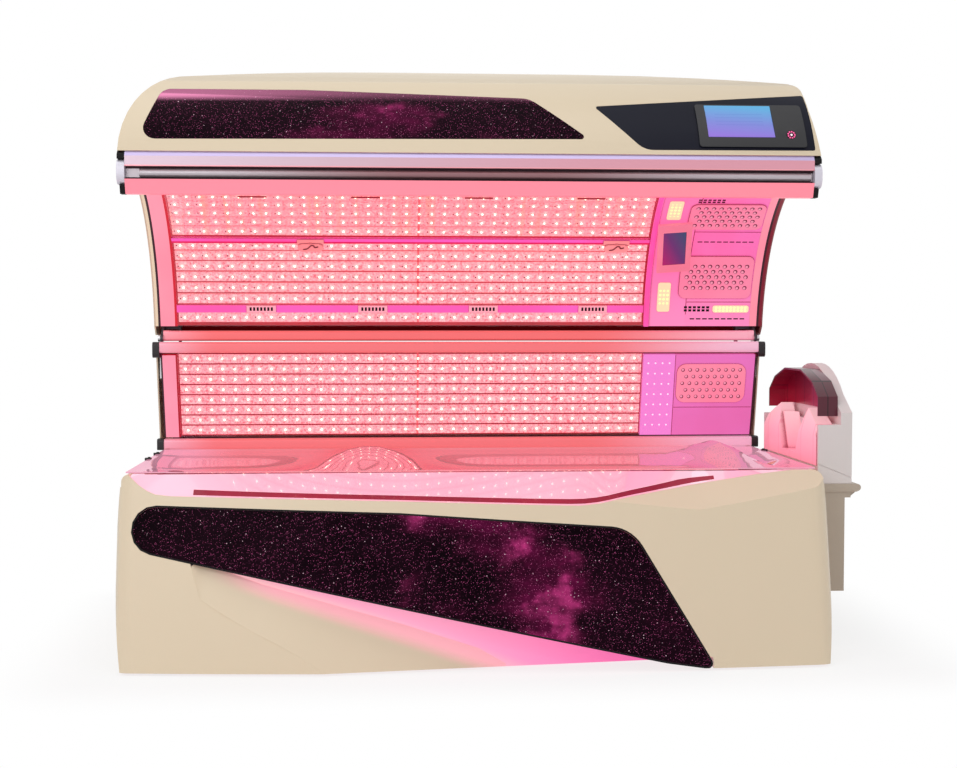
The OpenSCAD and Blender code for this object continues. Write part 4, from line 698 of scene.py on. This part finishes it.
def screenGlass(name, low, high):
    g = material(name)
    d = display
    x, y, z = g.place()
    upwards = (z - low.z) / (high.z - low.z)
    across = (x - low.x) / (high.x - low.x)
    tone = g.node("ValToRGB", {"stops": d["stops"]}, {0: upwards + (across - 0.5) * 0.15})
    row = ((upwards * d["rows"]).fraction() - 0.5).abs() < d["rowHalf"]
    inside = upwards.between(*d["rowsUp"]) * across.between(*d["rowsAcross"])
    tone = g.mix(row * inside * 0.25, tone, d["row"])
    return g.finishLit(tone, d["strength"], 0.2, 0.2, d["off"], 0.6)


button = {"petals": 9, "petalHalf": 0.32, "ring": (0.55, 0.9), "heart": 0.24, "ground": srgb(20, 12, 20),
          "lit": srgb(236, 96, 150), "white": srgb(255, 224, 236), "strength": 0.6}


def ringButton(name, low, high):
    g = material(name)
    d = button
    x, y, z = g.place()
    middle = (low + high) / 2
    radius = (high.x - low.x) / 2
    away = (((x - middle.x) ** 2 + (z - middle.z) ** 2) ** 0.5) / radius
    turn = (z - middle.z).math("ARCTAN2", x - middle.x) * (d["petals"] / (2 * math.pi))
    petal = ((turn + (d["petals"] + 0.5)).fraction() - 0.5).abs() < d["petalHalf"]
    tone = g.mix(away.between(*d["ring"]) * petal, d["ground"], d["lit"])
    tone = g.mix(away < d["heart"], tone, d["white"])
    return g.finishLit(tone, d["strength"], 0.3, 0.1)


print("finishes ready")


def startTree(name, **sockets):
    tree = bpy.data.node_groups.new(name, "GeometryNodeTree")
    face = tree.interface
    face.new_socket("Geometry", in_out="INPUT", socket_type="NodeSocketGeometry")
    for kind, values in sockets.items():
        for title, value in values.items():
            made = face.new_socket(title, in_out="INPUT", socket_type="NodeSocket" + kind)
            if value is not None:
                made.default_value = value
    face.new_socket("Geometry", in_out="OUTPUT", socket_type="NodeSocketGeometry")
    g = Graph(tree)
    return g, g.node("NodeGroupInput", out="Geometry")


def softenTree():
    g, given = startTree("softenEdges", Float={"Merge Distance": 0.00002, "Crease Angle": math.radians(32)})
    merged = g.node("GeometryNodeMergeByDistance", None,
                    {"Geometry": given, "Distance": given.out("Merge Distance")})
    smooth = g.node("GeometryNodeSetShadeSmooth", {"domain": "FACE"},
                    {"Geometry": merged, "Shade Smooth": True})
    turn = g.node("GeometryNodeInputMeshEdgeAngle", out="Unsigned Angle")
    flat = g.node("FunctionNodeCompare", {"data_type": "FLOAT", "operation": "LESS_EQUAL"},
                  {0: turn, 1: given.out("Crease Angle")})
    edges = g.node("GeometryNodeSetShadeSmooth", {"domain": "EDGE"},
                   {"Geometry": smooth, "Shade Smooth": flat})
    g.node("NodeGroupOutput", None, {"Geometry": edges})
    return g.tree


softenEdges = softenTree()


def setInputs(modifier, values):
    for item in modifier.node_group.interface.items_tree:
        if item.item_type == "SOCKET" and item.in_out == "INPUT" and item.name in values:
            modifier[item.identifier] = values[item.name]


def dress(name, finish, crease):
    part = nodes[name]
    for slot in part.material_slots:
        slot.material = finish
    soften = part.modifiers.new("soften", "NODES")
    soften.node_group = softenEdges
    setInputs(soften, {"Crease Angle": math.radians(crease)})


coverBeige = srgb(227, 209, 180)
# Painted light: the base's covers take a lighter copy of the canopy's beige, to make up for the lesser light on
# the base's front
baseBeigeLightened = srgb(236, 218, 189)
latchPink = litMoulding("latchPink", srgb(255, 168, 168), srgb(250, 140, 146), 0.6)
creases = {"usual": 32, "canopy_shell": 40}

dressing = {
    mouldedPlastic("coverShell", baseBeigeLightened, 0.36, 0.15):
        ["left_end_cover", "right_end_cover", "rear_cover", "side_rear_cover"],
    mouldedPlastic("frontCoverShell", baseBeigeLightened, 0.36, 0.15, frontCoverPaint, frontCoverGlow):
        ["front_cover"],
    mouldedPlastic("canopyShell", coverBeige, 0.36, 0.15, shellPaint): ["canopy_shell"],
    mouldedPlastic("shelfPlastic", srgb(190, 176, 160), 0.45): ["head_shelf"],
    mouldedPlastic("headHousingPlastic", srgb(232, 224, 222), 0.4): ["head_housing"],
    mouldedPlastic("blackPlastic", srgb(22, 17, 21), 0.45):
        ["acrylic_clamps", "side_rail_caps", "base_fan_housing", "base_fan_rotor", "canopy_fan_rotor",
         "mains_inlet"],
    mouldedPlastic("bezelBlack", srgb(15, 15, 21), 0.4): ["display_bezel"],
    speckledTrim("speckledTrim", 0.05, 0.75, 9): ["front_trim_panel"],
    speckledTrim("canopySpeckledTrim", -0.35, 0.55, 1.8): ["canopy_trim_panel"],
    rubber("rubberSeal", srgb(16, 15, 17)): ["front_trim_seal", "levelling_feet", "front_rail_seals"],
    bandedRail("frontRailAluminium"): ["front_rail"],
    glowingRail("sideRailAluminium", srgb(255, 130, 132), srgb(228, 168, 200)): ["side_rails"],
    glowingRail("rearRailAluminium", srgb(255, 118, 114), srgb(240, 132, 156)): ["canopy_rear_rail"],
    brushedMetal("capAluminium", srgb(224, 220, 232), 0.42, 0.25): ["front_rail_caps"],
    brushedMetal("zincPlate", srgb(206, 206, 210), 0.3, 0.9):
        ["hinge_brackets", "hinge_pins", "drive_spindles"],
    brushedMetal("panSheet", srgb(176, 178, 182), 0.38, 0.85, (1, 60, 1)): ["floor_pan"],
    paintedSteel("framePaint", srgb(66, 68, 72)): ["base_frame", "canopy_frame"],
    paintedSteel("drivePaint", srgb(84, 86, 90), 0.4, 0.4): ["drive_tubes"],
    paintedSteel("supplyCase", srgb(184, 184, 188), 0.4, 0.7): ["power_supplies"],
    litMoulding("reflectorSheet", srgb(206, 16, 42), srgb(170, 6, 28), 0.5, 0.3, 0.0, 0, reflectorPaint):
        ["side_reflector", "canopy_reflector"],
    litMoulding("benchReflector", srgb(255, 170, 180), srgb(252, 146, 160), 0.86, 0.3, 0.0, 0):
        ["bench_reflector"],
    clearSheet("clearAcrylic", acrylic["tint"], 0.22): ["side_acrylic", "canopy_acrylic"],
    clearSheet("benchAcrylic", acrylic["benchTint"], 0.75, 0.36): ["bench_acrylic"],
    lampBoard("canopyLampBoard", archRow, streaks=0.6): ["canopy_lamps"],
    lampBoard("sideLampBoard", sideRow, edge=0.44): ["side_lamps"],
    lampBoard("benchLampBoard", benchRow): ["bench_lamps"],
    litMoulding("deckPink", srgb(255, 190, 212), srgb(255, 176, 200), 0.62, 0.25, deckShine, 0, deckPaint,
                2.1, 0.00002): ["front_deck"],
    litMoulding("darkRedPlastic", srgb(168, 24, 58), srgb(140, 16, 46), 0.45, reach=0):
        ["deck_air_strip", "deck_grommets"],
    litMoulding("cheekPink", srgb(255, 158, 178), srgb(255, 142, 164), paint=cheekPaint): ["canopy_cheeks"],
    litMoulding("sideCheekPink", srgb(255, 160, 182), srgb(252, 146, 170), paint=sideCheekPaint):
        ["side_cheek"],
    litMoulding("cradleLitPink", srgb(255, 190, 202), srgb(252, 160, 178), reach=0.02, paint=cradlePaint):
        ["head_cradle"],
    litMoulding("tabletPink", srgb(255, 150, 176), srgb(246, 128, 156), 0.55): ["head_tablet"],
    latchPink: ["acrylic_latches"],
    litMoulding("roseMoulding", srgb(255, 146, 178), srgb(252, 132, 168), 0.6, reach=0.008): ["face_pads"],
    litMoulding("magentaMoulding", srgb(250, 122, 196), srgb(255, 112, 176), reach=0.01, paint=facePaint):
        ["face_panel"],
    litMoulding("sideMagenta", srgb(232, 122, 200), srgb(226, 112, 182), reach=0.008, paint=sidePlatePaint):
        ["side_speaker_panel"],
    litMoulding("ventMagenta", srgb(244, 100, 204), srgb(250, 88, 178), paint=ventPaint): ["vent_bar"],
    litMoulding("dividerMagenta", srgb(242, 100, 206), srgb(250, 84, 170), paint=dividerPaint):
        ["canopy_dividers"],
    litMoulding("hoodPlastic", srgb(120, 60, 78), srgb(84, 8, 26), 0.5, 0.3, reach=0, paint=hoodPaint):
        ["head_hood"],
    litMoulding("litStrip", srgb(255, 226, 186), srgb(255, 214, 172), 0.8, reach=0): ["light_strips"],
    litMoulding("recessGlow", srgb(255, 132, 190), srgb(255, 116, 178), 0.78, reach=0, paint=recessPaint):
        ["recess_light_panel"],
    fasciaGlass("fasciaGlass"): ["control_fascia"],
    screenGlass("screenGlass", *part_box("display_screen")): ["display_screen"],
    ringButton("startButton", *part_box("start_button")): ["start_button"],
}
for finish, names in dressing.items():
    for name in names:
        dress(name, finish, creases.get(name, creases["usual"]))
dressed = {name for names in dressing.values() for name in names}
print("parts dressed:", len(dressed), "left:", sorted(set(nodes) - dressed))


def linked(name, data):
    made = bpy.data.objects.new(name, data)
    scene.collection.objects.link(made)
    return made


def shaped(bm, name, finishes=()):
    mesh = bpy.data.meshes.new(name)
    bm.to_mesh(mesh)
    bm.free()
    for finish in finishes:
        mesh.materials.append(finish)
    return linked(name, mesh)


def plainMesh(source, name):
    bpy.context.view_layer.update()
    graph = bpy.context.evaluated_depsgraph_get()
    shown = source.evaluated_get(graph)
    mesh = bpy.data.meshes.new_from_object(shown, preserve_all_data_layers=True, depsgraph=graph)
    bpy.data.objects.remove(source)
    return linked(name, mesh)


def ridden(parts, name, body):
    bm = bmesh.new()
    finishes = []
    for part in parts:
        first = len(bm.faces)
        bm.from_mesh(part.data)
        bm.faces.ensure_lookup_table()
        for face in bm.faces[first:]:
            face.material_index += len(finishes)
        finishes.extend(part.data.materials)
        bpy.data.objects.remove(part)
    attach(shaped(bm, name, finishes), body)


def rowAndColumn(g, given):
    index = g.node("GeometryNodeInputIndex")
    row = (index / given.out("Columns") + 0.0001).floor()  # the small share keeps whole numbers whole
    return row, index - row * given.out("Columns")


def spreadOver(g, given, spot, item, turn=(0, 0, 0)):
    count = given.out("Rows") * given.out("Columns")
    points = g.node("GeometryNodePoints", None, {"Count": count, "Position": spot})
    spread = g.node("GeometryNodeInstanceOnPoints", None,
                    {"Points": points, "Instance": item, "Rotation": turn})
    real = g.node("GeometryNodeRealizeInstances", None, {"Geometry": spread})
    coated = g.node("GeometryNodeSetMaterial", None, {"Geometry": real, "Material": given.out("Finish")})
    g.node("NodeGroupOutput", None, {"Geometry": coated})
    return g.tree


def dotTree():
    g, given = startTree(
        "rowDots",
        Float={"Left": 0, "Pitch": 0.045, "Radius": 0.66, "First Angle": 0, "Row Angle": 0,
               "Dot Radius": 0.003, "Dot Height": 0.002},
        Int={"Rows": 6, "Columns": 30, "Sides": 8},
        Vector={"Centre": None, "Row Step": None},
        Material={"Finish": None})
    row, column = rowAndColumn(g, given)
    read = given.out
    angle = read("First Angle") + row * read("Row Angle")
    radius = read("Radius")
    ring = g.node("CombineXYZ", None, {
        "X": read("Left") + column * read("Pitch"),
        "Y": radius * angle.math("COSINE"), "Z": radius * angle.math("SINE")})
    step = g.node("VectorMath", {"operation": "SCALE"}, {0: read("Row Step"), "Scale": row})
    spot = g.vector("ADD", g.vector("ADD", ring, read("Centre")), step)
    dot = g.node("GeometryNodeMeshCone", None, {
        "Vertices": read("Sides"), "Radius Top": read("Dot Radius") * 0.72,
        "Radius Bottom": read("Dot Radius"), "Depth": read("Dot Height")})
    return spreadOver(g, given, spot, dot, g.node("CombineXYZ", None, {"X": angle + math.pi / 2}))


def gridTree(kind):
    g, given = startTree(
        kind + "Grid",
        Float={"Pitch X": 0.02, "Pitch Y": 0.02, "Radius": 0.005, "Depth": 0.003},
        Int={"Columns": 4, "Rows": 2},
        Vector={"Size": None},
        Material={"Finish": None})
    row, column = rowAndColumn(g, given)
    read = given.out
    spot = g.node("CombineXYZ", None, {
        "X": (column - (read("Columns") - 1) * 0.5) * read("Pitch X"),
        "Y": (row - (read("Rows") - 1) * 0.5) * read("Pitch Y")})
    if kind == "block":
        item = g.node("GeometryNodeMeshCube", None, {"Size": read("Size")})
    else:
        item = g.node("GeometryNodeMeshCone", None, {
            "Vertices": 12, "Radius Top": read("Radius") * 0.75, "Radius Bottom": read("Radius"),
            "Depth": read("Depth")})
    return spreadOver(g, given, spot, item)


trees = {"row": dotTree(), "block": gridTree("block"), "dot": gridTree("dot")}


def treePiece(kind, name, finish, values, place=Matrix.Identity(4)):
    holder = linked(name, bpy.data.meshes.new(name))
    spread = holder.modifiers.new("spread", "NODES")
    spread.node_group = trees[kind]
    setInputs(spread, dict(values, Finish=finish))
    made = plainMesh(holder, name + "Mesh")
    made.data.transform(place)
    return made


ledWarm = glowing("ledLens", srgb(255, 220, 186), 8.0)
# painted light: the driver chips glow dark red as if lit by the lamps around them
chipDark = glowing("driverChip", srgb(120, 26, 60), 0.5)

# Shift is a dot's distance from the left edge of its lamp cell
lampDots = {
    "led": {"Dot Radius": 0.0036, "Dot Height": 0.0024}, "ledShift": lampField["ledPitch"] / 2,
    "chip": {"Dot Radius": 0.003, "Dot Height": 0.0012}, "chipShift": 0.009,
    "columns": int((lampField["right"] - lampField["left"]) / lampField["ledPitch"]),
    "archRise": 0.0132, "sideRise": 0.0152, "benchLeft": -1.0172, "benchColumns": 45, "benchY": -0.351,
    "benchZ": 0.5016,
}


def archDots(name, finish, size, shift, pitch, count):
    half = archRows["pitch"] / 2
    return [treePiece("row", name + str(k), finish, dict(size, **{
        "Left": bedOrigin.x + lampField["left"] + shift, "Pitch": pitch,
        "Radius": arch["radius"] + lampDots["archRise"], "First Angle": math.radians(first + half),
        "Row Angle": math.radians(archRows["pitch"]), "Rows": rows, "Columns": count,
        "Centre": acrossBed(arch["y"], arch["z"]),
    })) for k, (first, rows) in enumerate(zip(archRows["starts"], archRows["counts"]))]


def flatDots(name, left, angle, rows, columns, centre, step):
    return [treePiece("row", name, ledWarm, dict(lampDots["led"], **{
        "Left": bedOrigin.x + left, "Pitch": lampField["ledPitch"], "Radius": 0.0, "First Angle": angle,
        "Rows": rows, "Columns": columns, "Centre": centre, "Row Step": step}))]


ridden(archDots("canopyLed", ledWarm, lampDots["led"], lampDots["ledShift"], lampField["ledPitch"],
                lampDots["columns"]), "canopyLeds", "canopy")
ridden(archDots("canopyChip", chipDark, lampDots["chip"], lampDots["chipShift"], lampField["ledPitch"] * 2,
                lampDots["columns"] // 2), "canopyChips", "canopy")
lean = sideWall["lean"]
sideDown = Vector((0, math.sin(lean), -math.cos(lean)))
sideIn = Vector((0, math.cos(lean), math.sin(lean)))
sideStart = (acrossBed(sideWall["y"], sideWall["z"]) + sideIn * lampDots["sideRise"]
             + sideDown * (sideRows["first"] + sideRows["pitch"] / 2))
ridden(flatDots("sideLed", lampField["left"] + lampDots["ledShift"], lean, sideRows["count"],
                lampDots["columns"], sideStart, sideDown * sideRows["pitch"]), "sideLeds", "base")
ridden(flatDots("benchLed", lampDots["benchLeft"], -math.pi / 2, benchRows["count"], lampDots["benchColumns"],
                acrossBed(lampDots["benchY"], lampDots["benchZ"]), Vector((0, benchRows["pitch"], 0))),
       "benchLeds", "base")
print("lamp dots made")

inwards = Matrix.Rotation(math.pi, 4, "X")  # a dot's cone points into the arch
ontoSide = Matrix.Rotation(math.pi / 2, 4, "X")  # a dot's cone points out of the side wall
sideFrame = Matrix.Translation(bed(0, sideWall["y"], sideWall["z"])) @ Matrix.Rotation(lean, 4, "X")

# Every place is an angle on the arch and an x
firstVent = ventPlates["first"] + ventPlates["width"] / 2
slots = {
    "vent": {"count": (7, 1), "pitch": (0.013, 0.0), "size": (0.0079, 0.0139, 0.006), "lift": 0.001, "shift": 0,
             "places": [(ventPlates["angle"], firstVent + k * ventPlates["pitch"]) for k in range(4)]},
    "squareVent": {"count": (6, 2), "pitch": (0.017, 0.012), "size": (0.0119, 0.0089, 0.008), "lift": 0.006,
                   "shift": 0.0005, "places": [(14.2, 0.8865), (57.4, 0.8805)]},
    "slotRow": {"count": (9, 1), "pitch": (0.024, 0.0), "size": (0.0179, 0.0049, 0.008), "lift": 0.006,
                "shift": 0, "places": [(10.7, 0.967), (38.9, 0.967)]},
    "rowSlot": {"count": (1, 1), "pitch": (0.0, 0.0), "size": (0.1, 0.0075, 0.0014), "lift": -0.0004,
                "shift": 0, "places": [(58.4, x) for x in (-0.755, -0.356, 0.042, 0.443)]},
}


def gridValues(count, pitch, **others):
    return dict(others, **{"Columns": count[0], "Rows": count[1], "Pitch X": pitch[0], "Pitch Y": pitch[1]})


def slotBlocks(finish, *kinds):
    made = []
    for kind in kinds:
        d = slots[kind]
        for angle, x in d["places"]:
            place = onArch(angle, arch["radius"] + d["lift"], x) @ Matrix.Translation((0, d["shift"], 0))
            values = gridValues(d["count"], d["pitch"], Size=Vector(d["size"]))
            made.append(treePiece("block", kind, finish, values, place))
    return made


# Painted shade: black blocks fill the vent slots, where there is only shade
ridden(slotBlocks(rubber("slotShadeBlack", srgb(14, 4, 8)), "vent", "squareVent", "slotRow"),
       "canopyVentSlotShade", "canopy")
# painted light: the red row slots glow
ridden(slotBlocks(glowing("slotRed", srgb(170, 20, 46), 0.5), "rowSlot"), "rowSlots", "canopy")

# Painted shade: dark discs sit in the pads' holes, where there is only shade, under the lenses
padShadow = glowing("padShadow", srgb(120, 24, 60), 0.55)
padLens = glowing("padLens", srgb(238, 150, 176), 0.8)

# A pad's dots are two grids, the second one in the gaps of the first
facePads = {
    "angles": ((18, 33.3), (44.4, 55.9), (70, 82)), "first": 0.838, "pitch": 0.028, "rise": 0.022,
    "grids": ((0, 9, 3), (0.014, 8, 2)), "wellShade": (0.0050, 0.0084, 0.0006), "lens": (0.0055, 0.0056, 0.0014),
    "lensShift": -0.0012,
}


def padDots(name, finish, middle, start, count, rows, lift, radius, height, shift=0.0):
    d = facePads
    step = d["rise"] / arch["radius"]
    return treePiece("row", name, finish, {
        "Left": bedOrigin.x + d["first"] + start + shift, "Pitch": d["pitch"],
        "Radius": arch["radius"] - lift, "Row Angle": step * 2,
        "First Angle": math.radians(middle) - step * (rows - 1) + shift / arch["radius"],
        "Rows": rows, "Columns": count, "Sides": 12, "Dot Radius": radius, "Dot Height": height,
        "Centre": acrossBed(arch["y"], arch["z"])})


shadows = []
lenses = []
for low, high in facePads["angles"]:
    for grid in facePads["grids"]:
        spot = ((low + high) / 2, *grid)
        shadows.append(padDots("padShadow", padShadow, *spot, *facePads["wellShade"]))
        lenses.append(padDots("padLens", padLens, *spot, *facePads["lens"], facePads["lensShift"]))


def roundedPlate(name, half, corner, thick, place, finish, steps=8):
    bm = bmesh.new()
    rim = []
    for turn in range(4):
        cx = (half[0] - corner) * (1 if turn in (0, 3) else -1)
        cy = (half[1] - corner) * (1 if turn in (0, 1) else -1)
        for k in range(steps + 1):
            angle = math.pi / 2 * (turn + k / steps)
            rim.append(bm.verts.new((cx + corner * math.cos(angle), cy + corner * math.sin(angle), 0)))
    crown = [bm.verts.new((v.co.x, v.co.y, thick)) for v in rim]
    bm.faces.new(list(reversed(rim)))
    bm.faces.new(crown)
    for k, foot in enumerate(rim):
        after = (k + 1) % len(rim)
        bm.faces.new((foot, rim[after], crown[after], crown[k]))
    upper = [e for e in bm.edges if all(v.co.z > thick * 0.5 for v in e.verts)]
    bmesh.ops.bevel(bm, geom=upper, offset=thick * 0.4, segments=2, affect="EDGES")
    bm.transform(place)
    return shaped(bm, name, [finish])


sidePad = {
    "x": 0.948, "down": 0.124, "half": (0.132, 0.076), "corner": 0.032, "thick": 0.0032, "seat": 0.0012,
    "pitch": (0.0275, 0.053), "grids": ((9, 3), (8, 2)), "dotLift": 0.0031, "wellShade": (0.0076, 0.0006),
    "lens": (0.005, 0.0014), "lensShift": (-0.001, 0.001, 0.0006),
}
padSeat = sideFrame @ Matrix.Translation((sidePad["x"], sidePad["seat"], -sidePad["down"])) @ ontoSide
padPlate = roundedPlate("sidePadPlate", sidePad["half"], sidePad["corner"], sidePad["thick"], padSeat,
                        litMoulding("sidePadPink", srgb(252, 148, 174), srgb(250, 134, 164), reach=0.008))
padTop = padSeat @ Matrix.Translation((0, 0, sidePad["dotLift"]))


def sidePadDots(name, finish, size, place):
    grids = (gridValues(count, sidePad["pitch"], Radius=size[0], Depth=size[1]) for count in sidePad["grids"])
    return [treePiece("dot", name, finish, values, place) for values in grids]


ridden([padPlate], "sidePadPlate", "base")
ridden(shadows + lenses, "facePadLensesAndShade", "canopy")
ridden(sidePadDots("sideShadow", padShadow, sidePad["wellShade"], padTop)
       + sidePadDots("sideLens", padLens, sidePad["lens"], padTop @ Matrix.Translation(sidePad["lensShift"])),
       "sidePadLensesAndShade", "base")

# A canopy strip is its count of dots, its angle and x on the arch, and the pitches of its dots
strips = {
    "canopy": (((3, 6), 18.3, 0.758, (0.014, 0.0165)), ((3, 5), 52.8, 0.756, (0.014, 0.0165)),
               ((9, 2), 14.1, 1.017, (0.014, 0.011))),
    "sink": 0.0012, "dot": {"Radius": 0.0046, "Depth": 0.0012},
    "side": (0.745, 0.0009, -0.168), "sideCount": (4, 7), "sidePitch": (0.027, 0.041),
    "sideDot": {"Radius": 0.0036, "Depth": 0.0012},
}
stripDot = glowing("stripDot", srgb(255, 232, 150), 1.5)
paleDot = glowing("paleDot", srgb(255, 214, 240), 1.0)
ridden([treePiece("dot", "stripDot", stripDot, gridValues(count, pitch, **strips["dot"]),
                  onArch(angle, arch["radius"] - strips["sink"], x) @ inwards)
        for count, angle, x, pitch in strips["canopy"]], "stripLenses", "canopy")
sideStrip = gridValues(strips["sideCount"], strips["sidePitch"], **strips["sideDot"])
sideStripPlace = sideFrame @ Matrix.Translation(strips["side"]) @ ontoSide
ridden([treePiece("dot", "sideStripDots", paleDot, sideStrip, sideStripPlace)],
       "sideStripDots", "base")
print("small lenses and slots made")

tablet = {"angle": 38.6, "x": 0.770, "lift": 0.0327, "turn": -5, "wide": 0.0415, "tall": 0.0715,
          "middle": -0.00485, "thick": 0.0015, "round": 0.0005, "off": srgb(8, 8, 12), "strength": 0.7,
          "stops": [(0.0, srgb(190, 30, 110)), (0.5, srgb(110, 54, 118)), (1.0, srgb(34, 88, 118))]}


def tabletScreen():
    d = tablet
    place = (onArch(d["angle"], arch["radius"], d["x"]) @ Matrix.Translation((0, 0, -d["lift"]))
             @ Matrix.Rotation(math.radians(d["turn"]), 4, "Z"))
    low, high = (place @ Vector((side * d["wide"], side * d["tall"], 0)) for side in (-1, 1))
    g = material("tabletScreenGlass")
    x, y, z = g.place()
    across = (x - min(low.x, high.x)) / abs(high.x - low.x)
    upwards = (z - min(low.z, high.z)) / abs(high.z - low.z)
    slant = (across * 0.55 + upwards * 0.45).clamped()
    tone = g.node("ValToRGB", {"stops": d["stops"]}, {0: slant})
    glass = g.finishLit(tone, d["strength"], 0.15, 0.2, d["off"], 0.7)
    bm = bmesh.new()
    bmesh.ops.create_cube(bm, size=1, matrix=Matrix.Translation((0, 0, d["middle"]))
                          @ Matrix.Diagonal((d["wide"] * 2, d["tall"] * 2, d["thick"], 1)))
    bmesh.ops.bevel(bm, geom=bm.edges[:], offset=d["round"], segments=2, affect="EDGES")
    bm.transform(place)
    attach(shaped(bm, "tabletScreen", [glass]), "canopy")


tabletScreen()
print("tablet screen made")

latch = {"angle": 37.9, "x": (-0.560, 0.560), "sink": 0.0075, "pad": (0.046, 0.0155), "corner": 0.0145,
         "thick": 0.004, "down": -0.014, "wire": 0.0017, "wireLift": 0.0052,
         "hook": ((-0.026, -0.006), (-0.012, -0.003), (-0.004, 0.004), (0.003, 0.011), (0.012, 0.010),
                  (0.015, 0.003), (0.028, 0.006))}


def latchParts():
    d = latch
    parts = []
    # painted light: the latch wire glows dark red
    wireDark = glowing("latchWire", srgb(120, 18, 40), 0.5)
    for x in d["x"]:
        seat = onArch(d["angle"], arch["radius"] - d["sink"], x) @ inwards
        parts.append(roundedPlate("latchPad", d["pad"], d["corner"], d["thick"],
                                  seat @ Matrix.Translation((0, d["down"], 0)), latchPink))
        curve = bpy.data.curves.new("latchHook", "CURVE")
        curve.dimensions = "3D"
        curve.bevel_depth = d["wire"]
        curve.bevel_resolution = 2
        line = curve.splines.new("BEZIER")
        line.bezier_points.add(len(d["hook"]) - 1)
        for point, (a, b) in zip(line.bezier_points, d["hook"]):
            point.co = (a, b + d["down"], d["wireLift"])
            point.handle_left_type = point.handle_right_type = "AUTO"
        made = plainMesh(linked("latchHook", curve), "latchHookMesh")
        made.data.transform(seat)
        made.data.materials.clear()
        made.data.materials.append(wireDark)
        parts.append(made)
    ridden(parts, "latchLevers", "canopy")


latchParts()
print("latches made")

white = (1, 1, 1, 1)
studio = {"floorSize": 30, "floor": srgb(250, 249, 250), "shadowReach": 0.42, "shadow": 0.22, "sky": 0.58}


def stageFloor():
    d = studio
    bm = bmesh.new()
    bmesh.ops.create_grid(bm, x_segments=1, y_segments=1, size=d["floorSize"])
    half = (Vector(cadBox[1]) - Vector(cadBox[0])) / 2
    g = material("paleFloor")
    x, y, z = g.place()
    outX = (x.abs() - half.x).clamped(0, 9)
    outY = (y.abs() - half.y).clamped(0, 9)
    away = ((outX * outX + outY * outY) ** 0.5).fade(0.0, d["shadowReach"])
    matt = g.node("BsdfDiffuse", None, {"Color": d["floor"]})
    seen = g.seenDirectly() * (away * d["shadow"] + (1 - d["shadow"]))
    pale = g.show(g.mixShaders(seen, matt, g.emission(white)))
    shaped(bm, "floor", [pale])


def stageWorld():
    world = bpy.data.worlds.new("studio")
    world.use_nodes = True
    scene.world = world
    g = Graph(world.node_tree)
    sky, plain = (g.node("Background", None, {"Color": white, "Strength": strength})
                  for strength in (studio["sky"], 1.0))
    g.node("OutputWorld", None, {"Surface": g.mixShaders(g.seenDirectly(), sky, plain)})


def areaLamp(name, place, target, size, power):
    light = bpy.data.lights.new(name, "AREA")
    light.shape = "RECTANGLE"
    light.size, light.size_y = size
    light.energy = power
    lamp = linked(name, light)
    lamp.location = place
    lamp.rotation_euler = (Vector(target) - Vector(place)).to_track_quat("-Z", "Y").to_euler()


stageFloor()
stageWorld()
areaLamp("topSoftbox", (-0.5, -1.2, 4.2), (0, 0, 0.9), (4.0, 2.6), 30)
areaLamp("frontSoftbox", (-2.8, -4.6, 3.0), (0, 0, 0.9), (3.0, 2.2), 45)

cameraView = {"place": (-0.3825, -5.0809, 1.09), "lens": 54.55, "sensor": 36, "pitch": -2.45, "yaw": -3.82}
eye = bpy.data.cameras.new("camera")
eye.lens = cameraView["lens"]
eye.sensor_width = cameraView["sensor"]
eye.clip_end = 100
camera = linked("camera", eye)
camera.location = cameraView["place"]
camera.rotation_euler = (math.radians(90 + cameraView["pitch"]), 0, math.radians(cameraView["yaw"]))
scene.camera = camera
scene.view_settings.view_transform = "Standard"
print("stage set")
